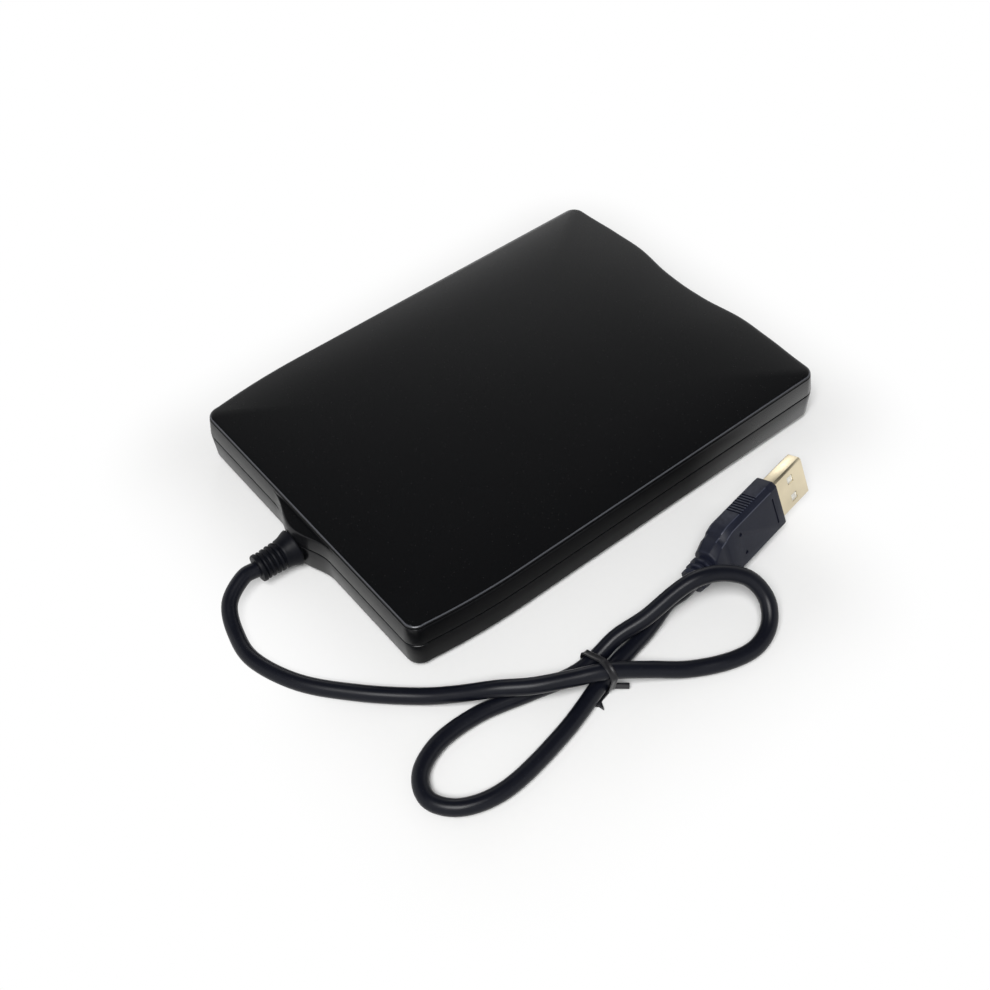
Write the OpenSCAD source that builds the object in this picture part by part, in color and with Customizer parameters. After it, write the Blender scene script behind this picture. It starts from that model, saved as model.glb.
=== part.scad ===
// External floppy disk drive with a fixed cord and plug, sizes in millimetres.
// Front with the disk slot faces -Y, the cord leaves at +Y, the feet stand on z = 0.

/* [Case] */
// Width of the case at the parting line
case_w = 104.5; // [96:0.5:126]
// Depth of the case at the parting line, without the cord boss
case_d = 141.5; // [130:0.5:170]
// Height of the top face above the desk
case_h = 17.0; // [16:0.1:21]
// Height of the parting line
part_z = 10.0; // [8:0.1:12]
// Inset of the top edge from the parting line
top_draft = 0.85; // [0.2:0.05:1.6]
// Inset of the bottom edge from the parting line
low_draft = 0.32; // [0.1:0.02:1]
// Thickness of the side walls
wall = 2.0; // [1.5:0.1:2.4]
// Thickness of the top and bottom plates
plate_t = 1.6; // [1.2:0.1:2]
// Radius of the corners in plan
corner_r = 4.5; // [4:0.1:8]
// Depth of the scoop in the middle of the front edge
scoop_in = 2.3; // [0:0.1:3]
// Narrowing of each long side at the rear corner
tail_in = 2.1; // [0:0.1:3]
// Reach of the cord boss behind the rear wall
boss_out = 4.5; // [2:0.1:6]
// Half width of the cord boss at its foot
boss_half = 17; // [14:0.5:20]
// Height of the rubber feet below the case
foot_h = 1.2; // [0.8:0.1:2]

/* [Disk path] */
// Lift of the disk between loaded and ejected
disk_lift = 1.7; // [1.4:0.1:2]
// Travel of the eject slide
eject_travel = 4.0; // [3.4:0.1:4.8]
// Height of the disk's underside when loaded
disk_z = 8.2; // [8.2:0.1:8.4]

/* [Heads] */
// Gap between each head and the middle plane of the loaded disk
head_gap = 0.05; // [0.02:0.01:0.1]
// Radius of the guide rods
rod_r = 1.2; // [1:0.05:1.3]
// Radius of the lead screw
screw_r = 1.5; // [1.2:0.05:1.8]

/* [Cord] */
// Diameter of the cord
cord_d = 4.3; // [3.4:0.1:4.4]
// Sides of the cord tube
cord_sides = 10; // [8:1:12]
// Height of the cord exit
exit_z = 6.5; // [6:0.1:7]
// Length of the strain relief outside the boss
relief_len = 11.0; // [8:0.5:13]

/* [Plug] */
// Width of the plug body
plug_w = 15.0; // [13:0.1:16]
// Thickness of the plug body
plug_t = 7.2; // [7:0.1:8.6]

/* [Hidden] */
$fn = 48;
e = 0.01;
hw = case_w / 2;
y_front = -70.5;
y_rear = y_front + case_d;
y_mid = (y_front + y_rear + boss_out) / 2;
z_low = foot_h;
z_floor = z_low + plate_t;
z_roof = case_h - plate_t;
lip_z = case_h - 2.4;
frame_z = z_floor + 0.6;
deck_z = frame_z + 0.8;
screw_x = 18;
screw_z = 8.6;
rod_x = 12;
rod_z = 6.2;
pivot_y = 56;
pivot_z = 11.6;
arm_rise = asin((disk_lift + 1.75) / 33);
disk_top = disk_z + disk_lift + 3.3;
plate_z = disk_top + 0.45;
lip_low = disk_z + disk_lift - 0.8;
slot_tilt = atan(disk_lift / eject_travel);
slot_len = sqrt(pow(disk_lift, 2) + pow(eject_travel, 2));
pin_z = 11.6;
case_screw = [42, 64];
foot_spots = [[42, -56], [40, 52]];
foot_r = 4.5;
frame_screws = [[44.5, -50], [40, 56]];
bezel_half = 47.5;
bezel_y = -67.3;
slot_half = 46;
flap_y = -64.35;
flap_z = 14.1;
flap_r = 0.6;
holder_front = -59.5;
holder_rear = 22;
holder_half = 46.3;
slide_half = 47.8;
slide_pins = [-46, 8];
lever_at = [-36, 14];
lever_len = 26;
lever_pin_r = 1.2;
spindle_y = -19;
shaft_r = 2.0;
bearing_r = 4.5;
cup_r = 20;
cup_in = 19.2;
coil_ring = 13.2;
core_r = 1.8;
plunger_y = -51;
plunger_r = 0.8;
board_screws_at = [[-43.5, 32.5], [-19.5, 57.5]];
board_z = deck_z + 2.0;
board_top = board_z + 0.8;
head_mid = disk_z + 1.65;
shell_w = 12;
shell_t = 4.5;
sheet = 0.8;
relief_end = y_rear + boss_out + relief_len;
plug_pos = [-72.2, -30, 9.3];
plug_az = -81.5;
plug_el = 3;
plug_roll = 70;
boot_len = 34;
plug_dir = [cos(plug_el) * cos(plug_az), cos(plug_el) * sin(plug_az), sin(plug_el)];
front_shape = [[0, 1], [5, 0.93], [10, 0.76], [14, 0.48], [17.5, 0.22], [21, 0.04], [25, 0],
  [30, 0.09], [35, 0.17], [40, 0.33], [45, 0.46], [60, 0.6]];

// Plan outline: half of it from the middle of the front to the middle of the rear.
function bell(x) = abs(x) >= boss_half ? 0 : boss_out * (1 + cos(180 * x / boss_half)) / 2;
function half_line(d, b) = concat(
  [for (x = [0 : 4 : 44]) [x, y_front + scoop_in * lookup(x, front_shape) + d]],
  [for (a = [0 : 18 : 90]) [hw - corner_r + (corner_r - d) * sin(a),
    y_front + scoop_in * 0.5 + corner_r - (corner_r - d) * cos(a)]],
  [for (y = [-40, 0, 38]) [hw - d, y]],
  [for (k = [1 : 3]) [hw - d - tail_in * pow(k / 4, 2), 38 + k * 7]],
  [for (a = [8 : 16.4 : 90]) [hw - tail_in - corner_r + (corner_r - d) * cos(a),
    y_rear - corner_r + (corner_r - d) * sin(a)]],
  [for (x = [36, 24, 17, 15, 13, 11, 9, 7, 5, 3, 1, 0]) [x, y_rear - d + b * bell(x)]]);
function full_line(d, b) = let (h = half_line(d, b), n = len(h))
  concat(h, [for (i = [n - 2 : -1 : 1]) [-h[i][0], h[i][1]]]);

module loft(rows) {
  n = len(full_line(0, 0));
  m = len(rows);
  pts = [for (r = rows) for (p = full_line(r[1], r[2])) [p[0], p[1], r[0]]];
  low = [[for (i = [0 : n - 1]) i]];
  high = [[for (i = [n - 1 : -1 : 0]) (m - 1) * n + i]];
  up = [for (k = [0 : m - 2]) for (i = [0 : n - 1]) [k * n + i, (k + 1) * n + i,
    (k + 1) * n + (i + 1) % n]];
  dn = [for (k = [0 : m - 2]) for (i = [0 : n - 1]) [k * n + i, (k + 1) * n + (i + 1) % n,
    k * n + (i + 1) % n]];
  polyhedron(points = pts, faces = concat(low, high, up, dn), convexity = 6);
}

// Box from corner to corner, and round bars along each axis.
module bx(x0, x1, y0, y1, z0, z1) {
  translate([x0, y0, z0]) cube([x1 - x0, y1 - y0, z1 - z0]);
}
module cz(x, y, z0, z1, r) {
  translate([x, y, z0]) cylinder(h = z1 - z0, r = r);
}
module cy(x, z, y0, y1, r) {
  translate([x, y0, z]) rotate([-90, 0, 0]) cylinder(h = y1 - y0, r = r);
}
module cx(y, z, x0, x1, r) {
  translate([x0, y, z]) rotate([0, 90, 0]) cylinder(h = x1 - x0, r = r);
}
module place() {
  translate([0, -y_mid, 0]) children();
}
module both() {
  children();
  mirror([1, 0, 0]) children();
}

// Smooth route through hand-set points, and a round tube along it.
function before(p, i) = i > 0 ? p[i - 1] : 2 * p[0] - p[1];
function after(p, i) = i + 2 < len(p) ? p[i + 2] : 2 * p[len(p) - 1] - p[len(p) - 2];
function route_at(p, i, t) = let (a = before(p, i), b = p[i], c = p[i + 1], d = after(p, i))
  b + 0.5 * t * ((c - a) + t * ((2 * a - 5 * b + 4 * c - d) + t * (3 * (b - c) + d - a)));
function route_dir(p, i, t) = let (a = before(p, i), b = p[i], c = p[i + 1], d = after(p, i))
  0.5 * (c - a) + t * (2 * a - 5 * b + 4 * c - d) + 1.5 * t * t * (3 * (b - c) + d - a);
function unit(v) = v / norm(v);
function ring(c, v, r, n, f) = let (s = unit(cross(v, f)), u = unit(cross(s, v)))
  [for (k = [0 : n - 1]) c + r * (cos(360 * k / n) * s + sin(360 * k / n) * u)];
module tube(p, r, n, steps, f = [0, 0, 1]) {
  q = len(p) - 1;
  cs = concat([for (i = [0 : q - 1]) for (k = [0 : steps - 1]) ring(route_at(p, i, k / steps),
    route_dir(p, i, k / steps), r, n, f)], [ring(p[q], p[q] - p[q - 1], r, n, f)]);
  m = len(cs);
  pts = [for (c = cs) for (v = c) v];
  low = [[for (i = [0 : n - 1]) i]];
  high = [[for (i = [n - 1 : -1 : 0]) (m - 1) * n + i]];
  up = [for (k = [0 : m - 2]) for (i = [0 : n - 1]) [k * n + i, (k + 1) * n + i,
    (k + 1) * n + (i + 1) % n]];
  dn = [for (k = [0 : m - 2]) for (i = [0 : n - 1]) [k * n + i, (k + 1) * n + (i + 1) % n,
    k * n + (i + 1) % n]];
  polyhedron(points = pts, faces = concat(low, high, up, dn), convexity = 10);
}

// Rounded boxes of changing size along Y, for the plug body and its boot.
function soft_ring(y, w, t, r) = [for (q = [0 : 3]) for (a = [0 : 22.5 : 90])
  let (sx = (q == 0 || q == 3) ? 1 : -1, sz = q < 2 ? 1 : -1, b = 90 * q + a)
  [sx * (w / 2 - r) + r * cos(b), y, sz * (t / 2 - r) + r * sin(b)]];
module soft_loft(rows) {
  m = len(rows);
  n = 20;
  pts = [for (r = rows) for (p = soft_ring(r[0], r[1], r[2], r[3])) p];
  low = [[for (i = [n - 1 : -1 : 0]) i]];
  high = [[for (i = [0 : n - 1]) (m - 1) * n + i]];
  up = [for (k = [0 : m - 2]) for (i = [0 : n - 1]) [k * n + i, (k + 1) * n + (i + 1) % n,
    (k + 1) * n + i]];
  dn = [for (k = [0 : m - 2]) for (i = [0 : n - 1]) [k * n + i, k * n + (i + 1) % n,
    (k + 1) * n + (i + 1) % n]];
  polyhedron(points = pts, faces = concat(low, high, up, dn), convexity = 6);
}
module plug_frame() {
  place()
  translate(plug_pos)
  rotate([0, 0, plug_az - 90])
  rotate([plug_el, 0, 0])
  rotate([0, plug_roll, 0])
  children();
}

// Case.
module top_cover() {
  color("#1a1a1c") place() difference() {
    union() {
      difference() {
        loft([[part_z, 0.25, 1], [part_z + 0.25, 0, 1], [lip_z, top_draft * 0.65, 1],
          [lip_z + 0.25, top_draft * 0.7, 0], [case_h - 1.0, top_draft, 0],
          [case_h - 0.45, top_draft + 0.18, 0], [case_h - 0.12, top_draft + 0.55, 0],
          [case_h, top_draft + 1.15, 0]]);
        loft([[part_z - 1, wall, 1], [lip_z - 1.4, wall + top_draft * 0.6, 1],
          [lip_z - 1.3, wall + top_draft * 0.65, 0], [z_roof, wall + top_draft, 0]]);
      }
      both() cz(case_screw.x, case_screw.y, z_floor + 0.2, z_roof + e, 3);
      both() bx(bezel_half + 0.1, hw - wall + 0.4, -64.6, -63.4, plate_z - 0.65, z_roof + e);
    }
    bx(-bezel_half, bezel_half, -80, -63.6, part_z - 1, z_roof);
    bx(-8, 8, -1, 36, z_roof - e, z_roof + 0.6);
    cy(0, exit_z, 60, 90, 4.0);
    both() cz(case_screw.x, case_screw.y, z_floor - 1, z_floor + 7, 1.0);
  }
}
module bottom_cover() {
  color("#1d1d20") place() difference() {
    union() {
      difference() {
        loft([[z_low, low_draft + 1.2, 1], [z_low + 0.1, low_draft + 0.7, 1],
          [z_low + 0.45, low_draft + 0.25, 1], [z_low + 1.2, low_draft, 1],
          [part_z - 0.25, 0, 1], [part_z, 0.25, 1]]);
        loft([[z_floor, wall + low_draft, 1], [part_z + 1, wall, 1]]);
      }
      both() for (s = frame_screws) cz(s.x, s.y, z_floor - e, frame_z, 2.6);
    }
    bx(-bezel_half, bezel_half, -80, -63.6, z_floor + sheet, part_z + 1);
    cy(0, exit_z, 60, 90, 4.0);
    both() cz(case_screw.x, case_screw.y, z_low - 1, z_floor + 1, 1.4);
    both() cz(case_screw.x, case_screw.y, z_low - 1, z_low + 1.0, 2.5);
    both() for (f = foot_spots) cz(f.x, f.y, z_low - 1, z_low + 0.3, foot_r + 0.1);
    both() for (s = frame_screws) cz(s.x, s.y, z_floor - 1, frame_z + 1, 0.8);
  }
}
module front_bezel() {
  color("#202023") place() difference() {
    union() {
      bx(-bezel_half, bezel_half, bezel_y, bezel_y + 2, z_floor + sheet, z_roof);
      both() bx(slot_half - 0.1, bezel_half, bezel_y + 2, -63.4, plate_z - 0.65, z_roof);
      bx(-bezel_half, bezel_half, bezel_y + 2, -63.6, z_floor + sheet, z_floor + 2 * sheet);
    }
    bx(-slot_half, slot_half, -70, -65, disk_z + disk_lift - 0.4, plate_z);
    bx(23.8, 37.2, -70, -63, 5.2, 9.0);
    bx(-35, -31, -70, -65, 6.2, 7.8);
    both() cx(flap_y, flap_z, 40, 50, flap_r + 0.05);
  }
}
module dust_flap() {
  color("#28282c") place() union() {
    cx(flap_y, flap_z, -47.2, 47.2, flap_r);
    bx(-slot_half + 0.5, slot_half - 0.5, flap_y - 0.4, flap_y + 0.4, disk_z + disk_lift - 0.1, flap_z);
  }
}
module eject_button() {
  color("#2b2b30") place() union() {
    bx(24, 37, bezel_y - 0.8, -61.8, 5.4, 8.8);
    bx(26, 35, -61.8 - e, -57.2, 5.4, 6.6);
  }
}
module led_lens() {
  color("#6fae6a") place() bx(-35, -31, bezel_y - 0.2, -64.8, 6.2, 7.8);
}
module led() {
  color("#b8d8b0") place() bx(-34, -32, -64.8, -62.2, 6.2, 7.8);
}
module rubber_feet() {
  color("#111112") place() both() for (f = foot_spots) cz(f.x, f.y, 0, z_low + 0.3, foot_r);
}
module case_screws() {
  color("#8c8c90") place() both() translate([case_screw.x, case_screw.y, 0]) difference() {
    union() {
      cz(0, 0, z_low + 0.2, z_low + 1.0, 2.3);
      cz(0, 0, z_low + 1.0 - e, z_floor + 6.4, 1.0);
    }
    for (a = [0, 90]) rotate([0, 0, a]) bx(-0.25, 0.25, -1.1, 1.1, z_low, z_low + 0.6);
  }
}

// Cord set.
module strain_relief() {
  y0 = y_rear + boss_out;
  k = relief_len / 11;
  color("#121216") place() union() {
    bx(-3.5, 3.5, y0 - 4.6, y0 - 2.9, 3.2, 9.8);
    translate([0, 0, exit_z]) rotate([-90, 0, 0]) rotate_extrude()
      polygon([[0, y0 - 3.0], [3.95, y0 - 3.0], [3.95, y0], [5.2, y0], [5.15, y0 + 2.4 * k],
        [4.1, y0 + 2.5 * k], [4.1, y0 + 3.3 * k], [4.85, y0 + 3.4 * k], [4.75, y0 + 4.4 * k],
        [3.9, y0 + 4.5 * k], [3.9, y0 + 5.3 * k], [4.55, y0 + 5.4 * k], [4.45, y0 + 6.4 * k],
        [3.7, y0 + 6.5 * k], [3.7, y0 + 7.3 * k], [4.25, y0 + 7.4 * k], [4.15, y0 + 8.4 * k],
        [3.5, y0 + 8.5 * k], [3.5, y0 + 9.3 * k], [3.95, y0 + 9.4 * k], [3.85, y0 + 10.6 * k],
        [3.5, y0 + 11 * k], [0, y0 + 11 * k]]);
  }
}
// Centre line of the cord from the strain relief to the plug, as it lies beside the case.
cord_route = [[0, relief_end, exit_z], [0, relief_end + 4, exit_z], [-3.5, 96.5, 4.6],
  [-11, 99.7, 2.5], [-21, 100.5, 2.3], [-34, 95.5, 2.3], [-46, 86, 2.3], [-56.5, 75.5, 2.6],
  [-63, 68.5, 4.2], [-69.5, 61, 6.7], [-75, 54, 7.4], [-79.5, 45.5, 7.5], [-83.5, 37.5, 7.5],
  [-88.5, 28.5, 5], [-93.5, 20, 2.6], [-98, 11, 2.4], [-99.5, 3, 2.5], [-97.5, -3.5, 3.8],
  [-93, -7, 7], [-87.5, -6, 10.8], [-83, -1, 12.9], [-80.3, 5, 13.2], [-79, 11, 11.6],
  [-78.2, 20.5, 8.3], [-76.6, 28.5, 5.9], [-76.6, 36, 3.2], [-76.1, 43.5, 2.4], [-73, 55, 2.3],
  [-70, 67, 2.3], [-70, 79, 2.3], [-74, 87.5, 2.3], [-81, 90, 2.3], [-87.5, 84.5, 2.3],
  [-90, 73, 2.3], [-87, 54, 2.3], [-81.8, 36, 2.9], [-78.8, 21, 3], [-77.3, 12.5, 6],
  plug_pos - (boot_len + 4) * plug_dir, plug_pos - boot_len * plug_dir];
module cord() {
  color("#15161c") place() tube(cord_route, cord_d / 2, cord_sides, 2);
}
module usb_plug_body() {
  color("#23242e") plug_frame() difference() {
    soft_loft([[0, plug_w - 1.2, plug_t - 1.2, 0.9], [-0.6, plug_w, plug_t, 1.1],
      [-19.5, plug_w, plug_t, 1.1], [-24, 12.4, plug_t - 0.1, 1.6], [-27, 9.6, 7.2, 2.2],
      [-27.4, 8.4, 6.9, 3.0], [-28.2, 6.4, 6.2, 3.0], [-28.9, 6.4, 6.2, 3.0],
      [-29.0, 7.8, 7.2, 3.4], [-29.9, 7.6, 7.2, 3.4], [-30.0, 6.0, 6.0, 2.9],
      [-30.8, 6.0, 6.0, 2.9], [-30.9, 7.4, 7.2, 3.5], [-31.8, 7.2, 7.1, 3.5],
      [-31.9, 5.8, 5.8, 2.8], [-32.6, 5.8, 5.8, 2.8], [-32.7, 7.1, 7.0, 3.4],
      [-boot_len, 6.8, 6.8, 3.35]]);
    translate([-shell_w / 2, -4, -shell_t / 2]) cube([shell_w, 5, shell_t]);
  }
}
module usb_plug_shell() {
  color("#c9bf9a") plug_frame() difference() {
    translate([-shell_w / 2, -4, -shell_t / 2]) cube([shell_w, 16, shell_t]);
    translate([0.3 - shell_w / 2, -3.7, 0.3 - shell_t / 2]) cube([shell_w - 0.6, 20, shell_t - 0.6]);
    for (x = [-2.9, 2.9]) translate([x - 1.15, 5.1, -5]) cube([2.3, 2.3, 10]);
  }
}
module usb_plug_insulator() {
  color("#e6e4dc") plug_frame()
    translate([0.3 - shell_w / 2, -3.7, 0.3 - shell_t / 2]) cube([shell_w - 0.6, 15.2, 1.85]);
}
module usb_plug_contacts() {
  color("#d2b46a") plug_frame() union() {
    for (x = [-3.5, 3.5]) translate([x - 0.5, 3, -0.1]) cube([1.0, 7.6, 0.2]);
    for (x = [-1, 1]) translate([x - 0.5, 3, -0.1]) cube([1.0, 6.6, 0.2]);
  }
}
module cord_tie() {
  color("#0f0f11") place() union() {
    translate([-80.2, 37.6, 0]) rotate([0, 0, -6]) rotate([90, 0, 0])
      linear_extrude(height = 1.9, center = true) difference() {
        polygon([[4, 0.02], [5.5, 0.45], [6.45, 1.7], [6.75, 3.1], [6.4, 4.6], [5.7, 5.35],
          [-0.95, 10], [-2.35, 10.45], [-4.15, 10.3], [-5.5, 9.6], [-6.4, 8.4], [-6.6, 7.2],
          [-5.5, 2], [-4.55, 0.6], [-3, 0.02]]);
        polygon([[4, 0.42], [5.2, 0.85], [6, 1.9], [6.25, 3.1], [5.95, 4.35], [5.45, 4.85],
          [-1.1, 9.5], [-2.4, 9.95], [-3.95, 9.8], [-5.2, 9.2], [-5.95, 8.15], [-6.1, 7.2],
          [-5, 2.1], [-4.2, 1.05], [-3, 0.42]]);
      }
    translate([-85.6, 37.4, 1.6]) rotate([0, 0, -122]) translate([-0.4, -0.35, 0])
      cube([5, 0.7, 2.0]);
    translate([-84.2, 38.6, 0.3]) rotate([0, 0, 132]) linear_extrude(height = 0.7)
      polygon([[-0.6, -0.1], [1.5, -0.6], [5.2, 0.6], [1.2, 0.9], [-0.6, 1.0]]);
  }
}

// Frame and disk path.
module chassis_frame() {
  color("#a9adb2") place() difference() {
    union() {
      bx(-49.2, 49.2, -61, 36, frame_z, deck_z);
      bx(-46, 46, 36 - e, 60, frame_z, deck_z);
      both() bx(49.2 - sheet, 49.2, -58, 34, deck_z - e, 12.2);
      both() cz(42.5, 5.9, deck_z - e, 7.4, 0.7);
    }
    bx(11.5, 24.5, 51.0, 61, frame_z - 1, deck_z + 1);
    for (x = [-44, -18, 10]) bx(x, x + 26, -56, -54, frame_z - 1, deck_z + 1);
    both() bx(37, 45, -40, -6, frame_z - 1, deck_z + 1);
    both() bx(38, 45, 8, 28, frame_z - 1, deck_z + 1);
    both() for (s = frame_screws) cz(s.x, s.y, frame_z - 1, deck_z + 1, 0.9);
    both() bx(47, 50, -30, -12, 6.5, 10.5);
  }
}
module chassis_screws() {
  color("#c8c8cc") place() both() for (s = frame_screws) {
    cz(s.x, s.y, deck_z, deck_z + 0.8, 1.7);
    cz(s.x, s.y, z_floor - 0.6, deck_z + e, 0.8);
  }
}
module disk_holder() {
  color("#c2c6ca") place() difference() {
    union() {
      bx(-holder_half, holder_half, holder_front, holder_rear, plate_z, plate_z + 0.4);
      both() bx(holder_half - 0.4, holder_half, holder_front, holder_rear, lip_low, plate_z + e);
      both() bx(holder_half - 4.4, holder_half - 0.4 + e, holder_front, holder_rear, lip_low, lip_low + 0.4);
      both() for (y = slide_pins) cx(y, pin_z, holder_half - 0.1, slide_half + 0.3, 0.8);
    }
    bx(-8.5, 8.5, -2, 23, plate_z - 1, plate_z + 1);
    bx(-20, 20, -38, -12, plate_z - 1, plate_z + 1);
    bx(-20, 20, -64, -50, plate_z - 1, plate_z + 1);
    both() bx(28, 40, -44, -26, plate_z - 1, plate_z + 1);
    translate([lever_at.x, lever_at.y, plate_z - 1]) linear_extrude(height = 2) intersection() {
      difference() {
        circle(r = lever_len + lever_pin_r + 0.4);
        circle(r = lever_len - lever_pin_r - 0.4);
      }
      polygon([[0, 0], [-14, -36], [24, -36]]);
    }
  }
}
module slide_slot(y) {
  both() translate([0, y, pin_z]) rotate([-slot_tilt, 0, 0]) {
    bx(46.5, 48.3, -0.1, slot_len + 0.1, -0.85, 0.85);
    cx(-0.1, 0, 46.5, 48.3, 0.85);
    cx(slot_len + 0.1, 0, 46.5, 48.3, 0.85);
  }
}
module eject_plate() {
  color("#b4b8bd") place() difference() {
    union() {
      both() bx(slide_half - sheet, slide_half, -60.6, 24, 4.6, 12.6);
      bx(-slide_half, slide_half, -60.6, -57, 4.6, 5.4);
      both() bx(44, 47.4, 20, 24, 4.6, 5.4);
    }
    for (y = slide_pins) slide_slot(y);
    both() bx(46, 49, -30, -12, 6.2, 10.8);
  }
}
module eject_springs() {
  turns = 8;
  color("#d7d9dc") place() both() translate([42.5, 6.7, 5.9])
    tube([for (k = [0 : 10 * turns]) [cos(36 * k), 0.16 * k, sin(36 * k)]], 0.22, 6, 1, [0, 1, 0]);
}
module shutter_lever() {
  color("#d0d3d6") place() translate([lever_at.x, lever_at.y, 0]) rotate([0, 0, 30]) difference() {
    union() {
      cz(0, 0, plate_z + 0.5, plate_z + 1.0, 3.2);
      bx(-1.6, 1.6, -lever_len, 0, plate_z + 0.5, plate_z + 1.0);
      cz(0, -lever_len, plate_z - 2, plate_z + 1.0, lever_pin_r);
    }
    cz(0, 0, plate_z, plate_z + 2, 1.55);
  }
}
module lever_pivot() {
  color("#9a9da2") place() union() {
    cz(lever_at.x, lever_at.y, plate_z + 0.4, plate_z + 1.1, 1.5);
    cz(lever_at.x, lever_at.y, plate_z + 1.1, plate_z + 1.4, 2.4);
  }
}

// Spindle.
module motor_board() {
  color("#2f5a3a") place() difference() {
    bx(-32, 32, -46, 2, deck_z, deck_z + 0.8);
    cz(0, spindle_y, 0, 20, bearing_r + 0.05);
    both() cz(28, -42, 0, 20, 1.6);
  }
}
module stator_poles() {
  color("#77797d") place() for (k = [0 : 5]) translate([0, spindle_y, 0]) rotate([0, 0, 60 * k])
    cz(coil_ring, 0, deck_z + 0.8, deck_z + 1.5, core_r);
}
module stator_coils() {
  color("#b06a34") place() for (k = [0 : 5]) translate([0, spindle_y, 0]) rotate([0, 0, 60 * k])
    difference() {
      cz(coil_ring, 0, deck_z + 0.8, deck_z + 1.6, 5.0);
      cz(coil_ring, 0, deck_z, deck_z + 3, core_r + 0.02);
    }
}
module spindle_bearing() {
  color("#c69a4e") place() difference() {
    cz(0, spindle_y, deck_z, 6.6, bearing_r);
    cz(0, spindle_y, 0, 20, shaft_r + 0.04);
  }
}
module rotor_cup() {
  color("#b9bcc0") place() difference() {
    cz(0, spindle_y, 5.9, 7.5, cup_r);
    cz(0, spindle_y, 5, 6.9, cup_in);
    cz(0, spindle_y, 5, 9, shaft_r + 0.01);
    for (k = [0 : 2]) translate([0, spindle_y, 0]) rotate([0, 0, 120 * k + 30]) cz(14.5, 0, 5, 9, 2.0);
  }
}
module rotor_magnet() {
  color("#3a3a3e") place() difference() {
    cz(0, spindle_y, 6.1, 6.9, cup_in - 0.05);
    cz(0, spindle_y, 5, 9, 9);
  }
}
module spindle_hub() {
  color("#d6d8da") place() union() {
    cz(0, spindle_y, 7.5, disk_z, 11);
    cz(0, spindle_y, deck_z + 0.1, disk_z + 1.25, shaft_r);
  }
}
module drive_pin() {
  color("#8f9296") place() cz(7.5, spindle_y, disk_z, disk_z + 1.1, 1.1);
}

// Head carriage, driven by the lead screw.
module head_carriage() {
  color("#3b3d42") place() difference() {
    union() {
      bx(-14.5, 14.5, 27, 41, 4.6, 7.9);
      bx(-5, 5, 16.3, 27 + e, 5.8, 7.4);
      bx(-6.2, 6.2, 41 - e, 60, 5.0, 7.4);
      bx(-6.2, 6.2, 52, 60, 7.4 - e, 10.0);
      both() bx(5.0, 6.2, 53, 59, 10.0 - e, 13.2);
    }
    both() cy(rod_x, rod_z, 20, 50, rod_r + 0.05);
    both() cx(pivot_y, pivot_z, 4, 8, 0.8);
    both() bx(7.5, 9, 29, 39, 7, 9);
  }
}
module lower_head() {
  color("#c8cacc") place() difference() {
    bx(-4, 4, 16.5, 24.5, 7.4, head_mid - head_gap);
    bx(-0.6, 0.6, 16, 25, disk_z + 1.4, disk_z + 2);
  }
}
module arm_frame() {
  place() translate([0, pivot_y, pivot_z]) rotate([-arm_rise, 0, 0])
    translate([0, -pivot_y, -pivot_z]) children();
}
module upper_head_arm() {
  color("#aeb2b8") arm_frame() difference() {
    union() {
      bx(-4.8, 4.8, 50, pivot_y, 11.1, 11.6);
      bx(-6, 6, 17.5, 50 + e, 11.1, 11.6);
      cx(pivot_y, pivot_z, -4.8, 4.8, 1.3);
    }
    cx(pivot_y, pivot_z, -6, 6, 0.85);
    bx(-2.5, 2.5, 30, 44, 10, 13);
  }
}
module upper_head() {
  color("#c8cacc") arm_frame() bx(-3.5, 3.5, 18, 23, head_mid + head_gap, 11.1);
}
module arm_pin() {
  color("#d9dbdd") place() cx(pivot_y, pivot_z, -6.6, 8.8, 0.8);
}
module arm_spring() {
  turns = 4;
  color("#d7d9dc") place() translate([6.38, pivot_y, pivot_z])
    tube([for (k = [0 : 10 * turns]) [0.045 * k, 1.1 * cos(36 * k), 1.1 * sin(36 * k)]],
      0.2, 6, 1, [1, 0, 0]);
}
module guide_rods() {
  color("#dfe1e3") place() both() cy(rod_x, rod_z, 5, 49, rod_r);
}
module rod_clips() {
  color("#aeb2b8") place() both() difference() {
    union() {
      bx(rod_x - 2.4, rod_x + 2.4, 5, 8, deck_z, rod_z + 0.7);
      bx(rod_x - 2.4, rod_x + 2.4, 46, 49, deck_z, rod_z + 0.7);
    }
    cy(rod_x, rod_z, 0, 60, rod_r + 0.02);
  }
}
module stepper_motor() {
  color("#8e9297") place() difference() {
    union() {
      cy(screw_x, screw_z, 51, 64, 5.2);
      cy(screw_x, screw_z, 64 - e, 64.8, 3.4);
    }
    cy(screw_x, screw_z, 50, 54, 1.06);
  }
}
module motor_bracket() {
  color("#b9bcc0") place() difference() {
    union() {
      bx(12.2, 23.8, 50.2, 51.0, deck_z, 14);
      bx(12.2, 23.8, 49.2, 50.2 + e, deck_z, deck_z + 0.6);
    }
    cy(screw_x, screw_z, 45, 55, 2.0);
  }
}
module lead_screw() {
  color("#d9dbdd") place() union() {
    cy(screw_x, screw_z, 28.6, 50.0, screw_r);
    cy(screw_x, screw_z, 26.8, 28.6 + e, 1.0);
    cy(screw_x, screw_z, 50.0 - e, 53.8, 1.0);
  }
}
module screw_bearing() {
  color("#c69a4e") place() difference() {
    bx(15.6, 20.4, 26.6, 28.4, deck_z, 10.6);
    cy(screw_x, screw_z, 26, 30, 1.05);
  }
}
module screw_follower() {
  color("#55585e") place() difference() {
    union() {
      bx(2, 6.2, 43.5, 48.5, 7.4, 7.6 + e);
      bx(2, 16, 43.5, 48.5, 7.6, 9.0);
      bx(15, 21, 43.5, 48.5, 6.4, 11.0);
    }
    cy(screw_x, screw_z, 40, 50, screw_r + 0.06);
  }
}

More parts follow.
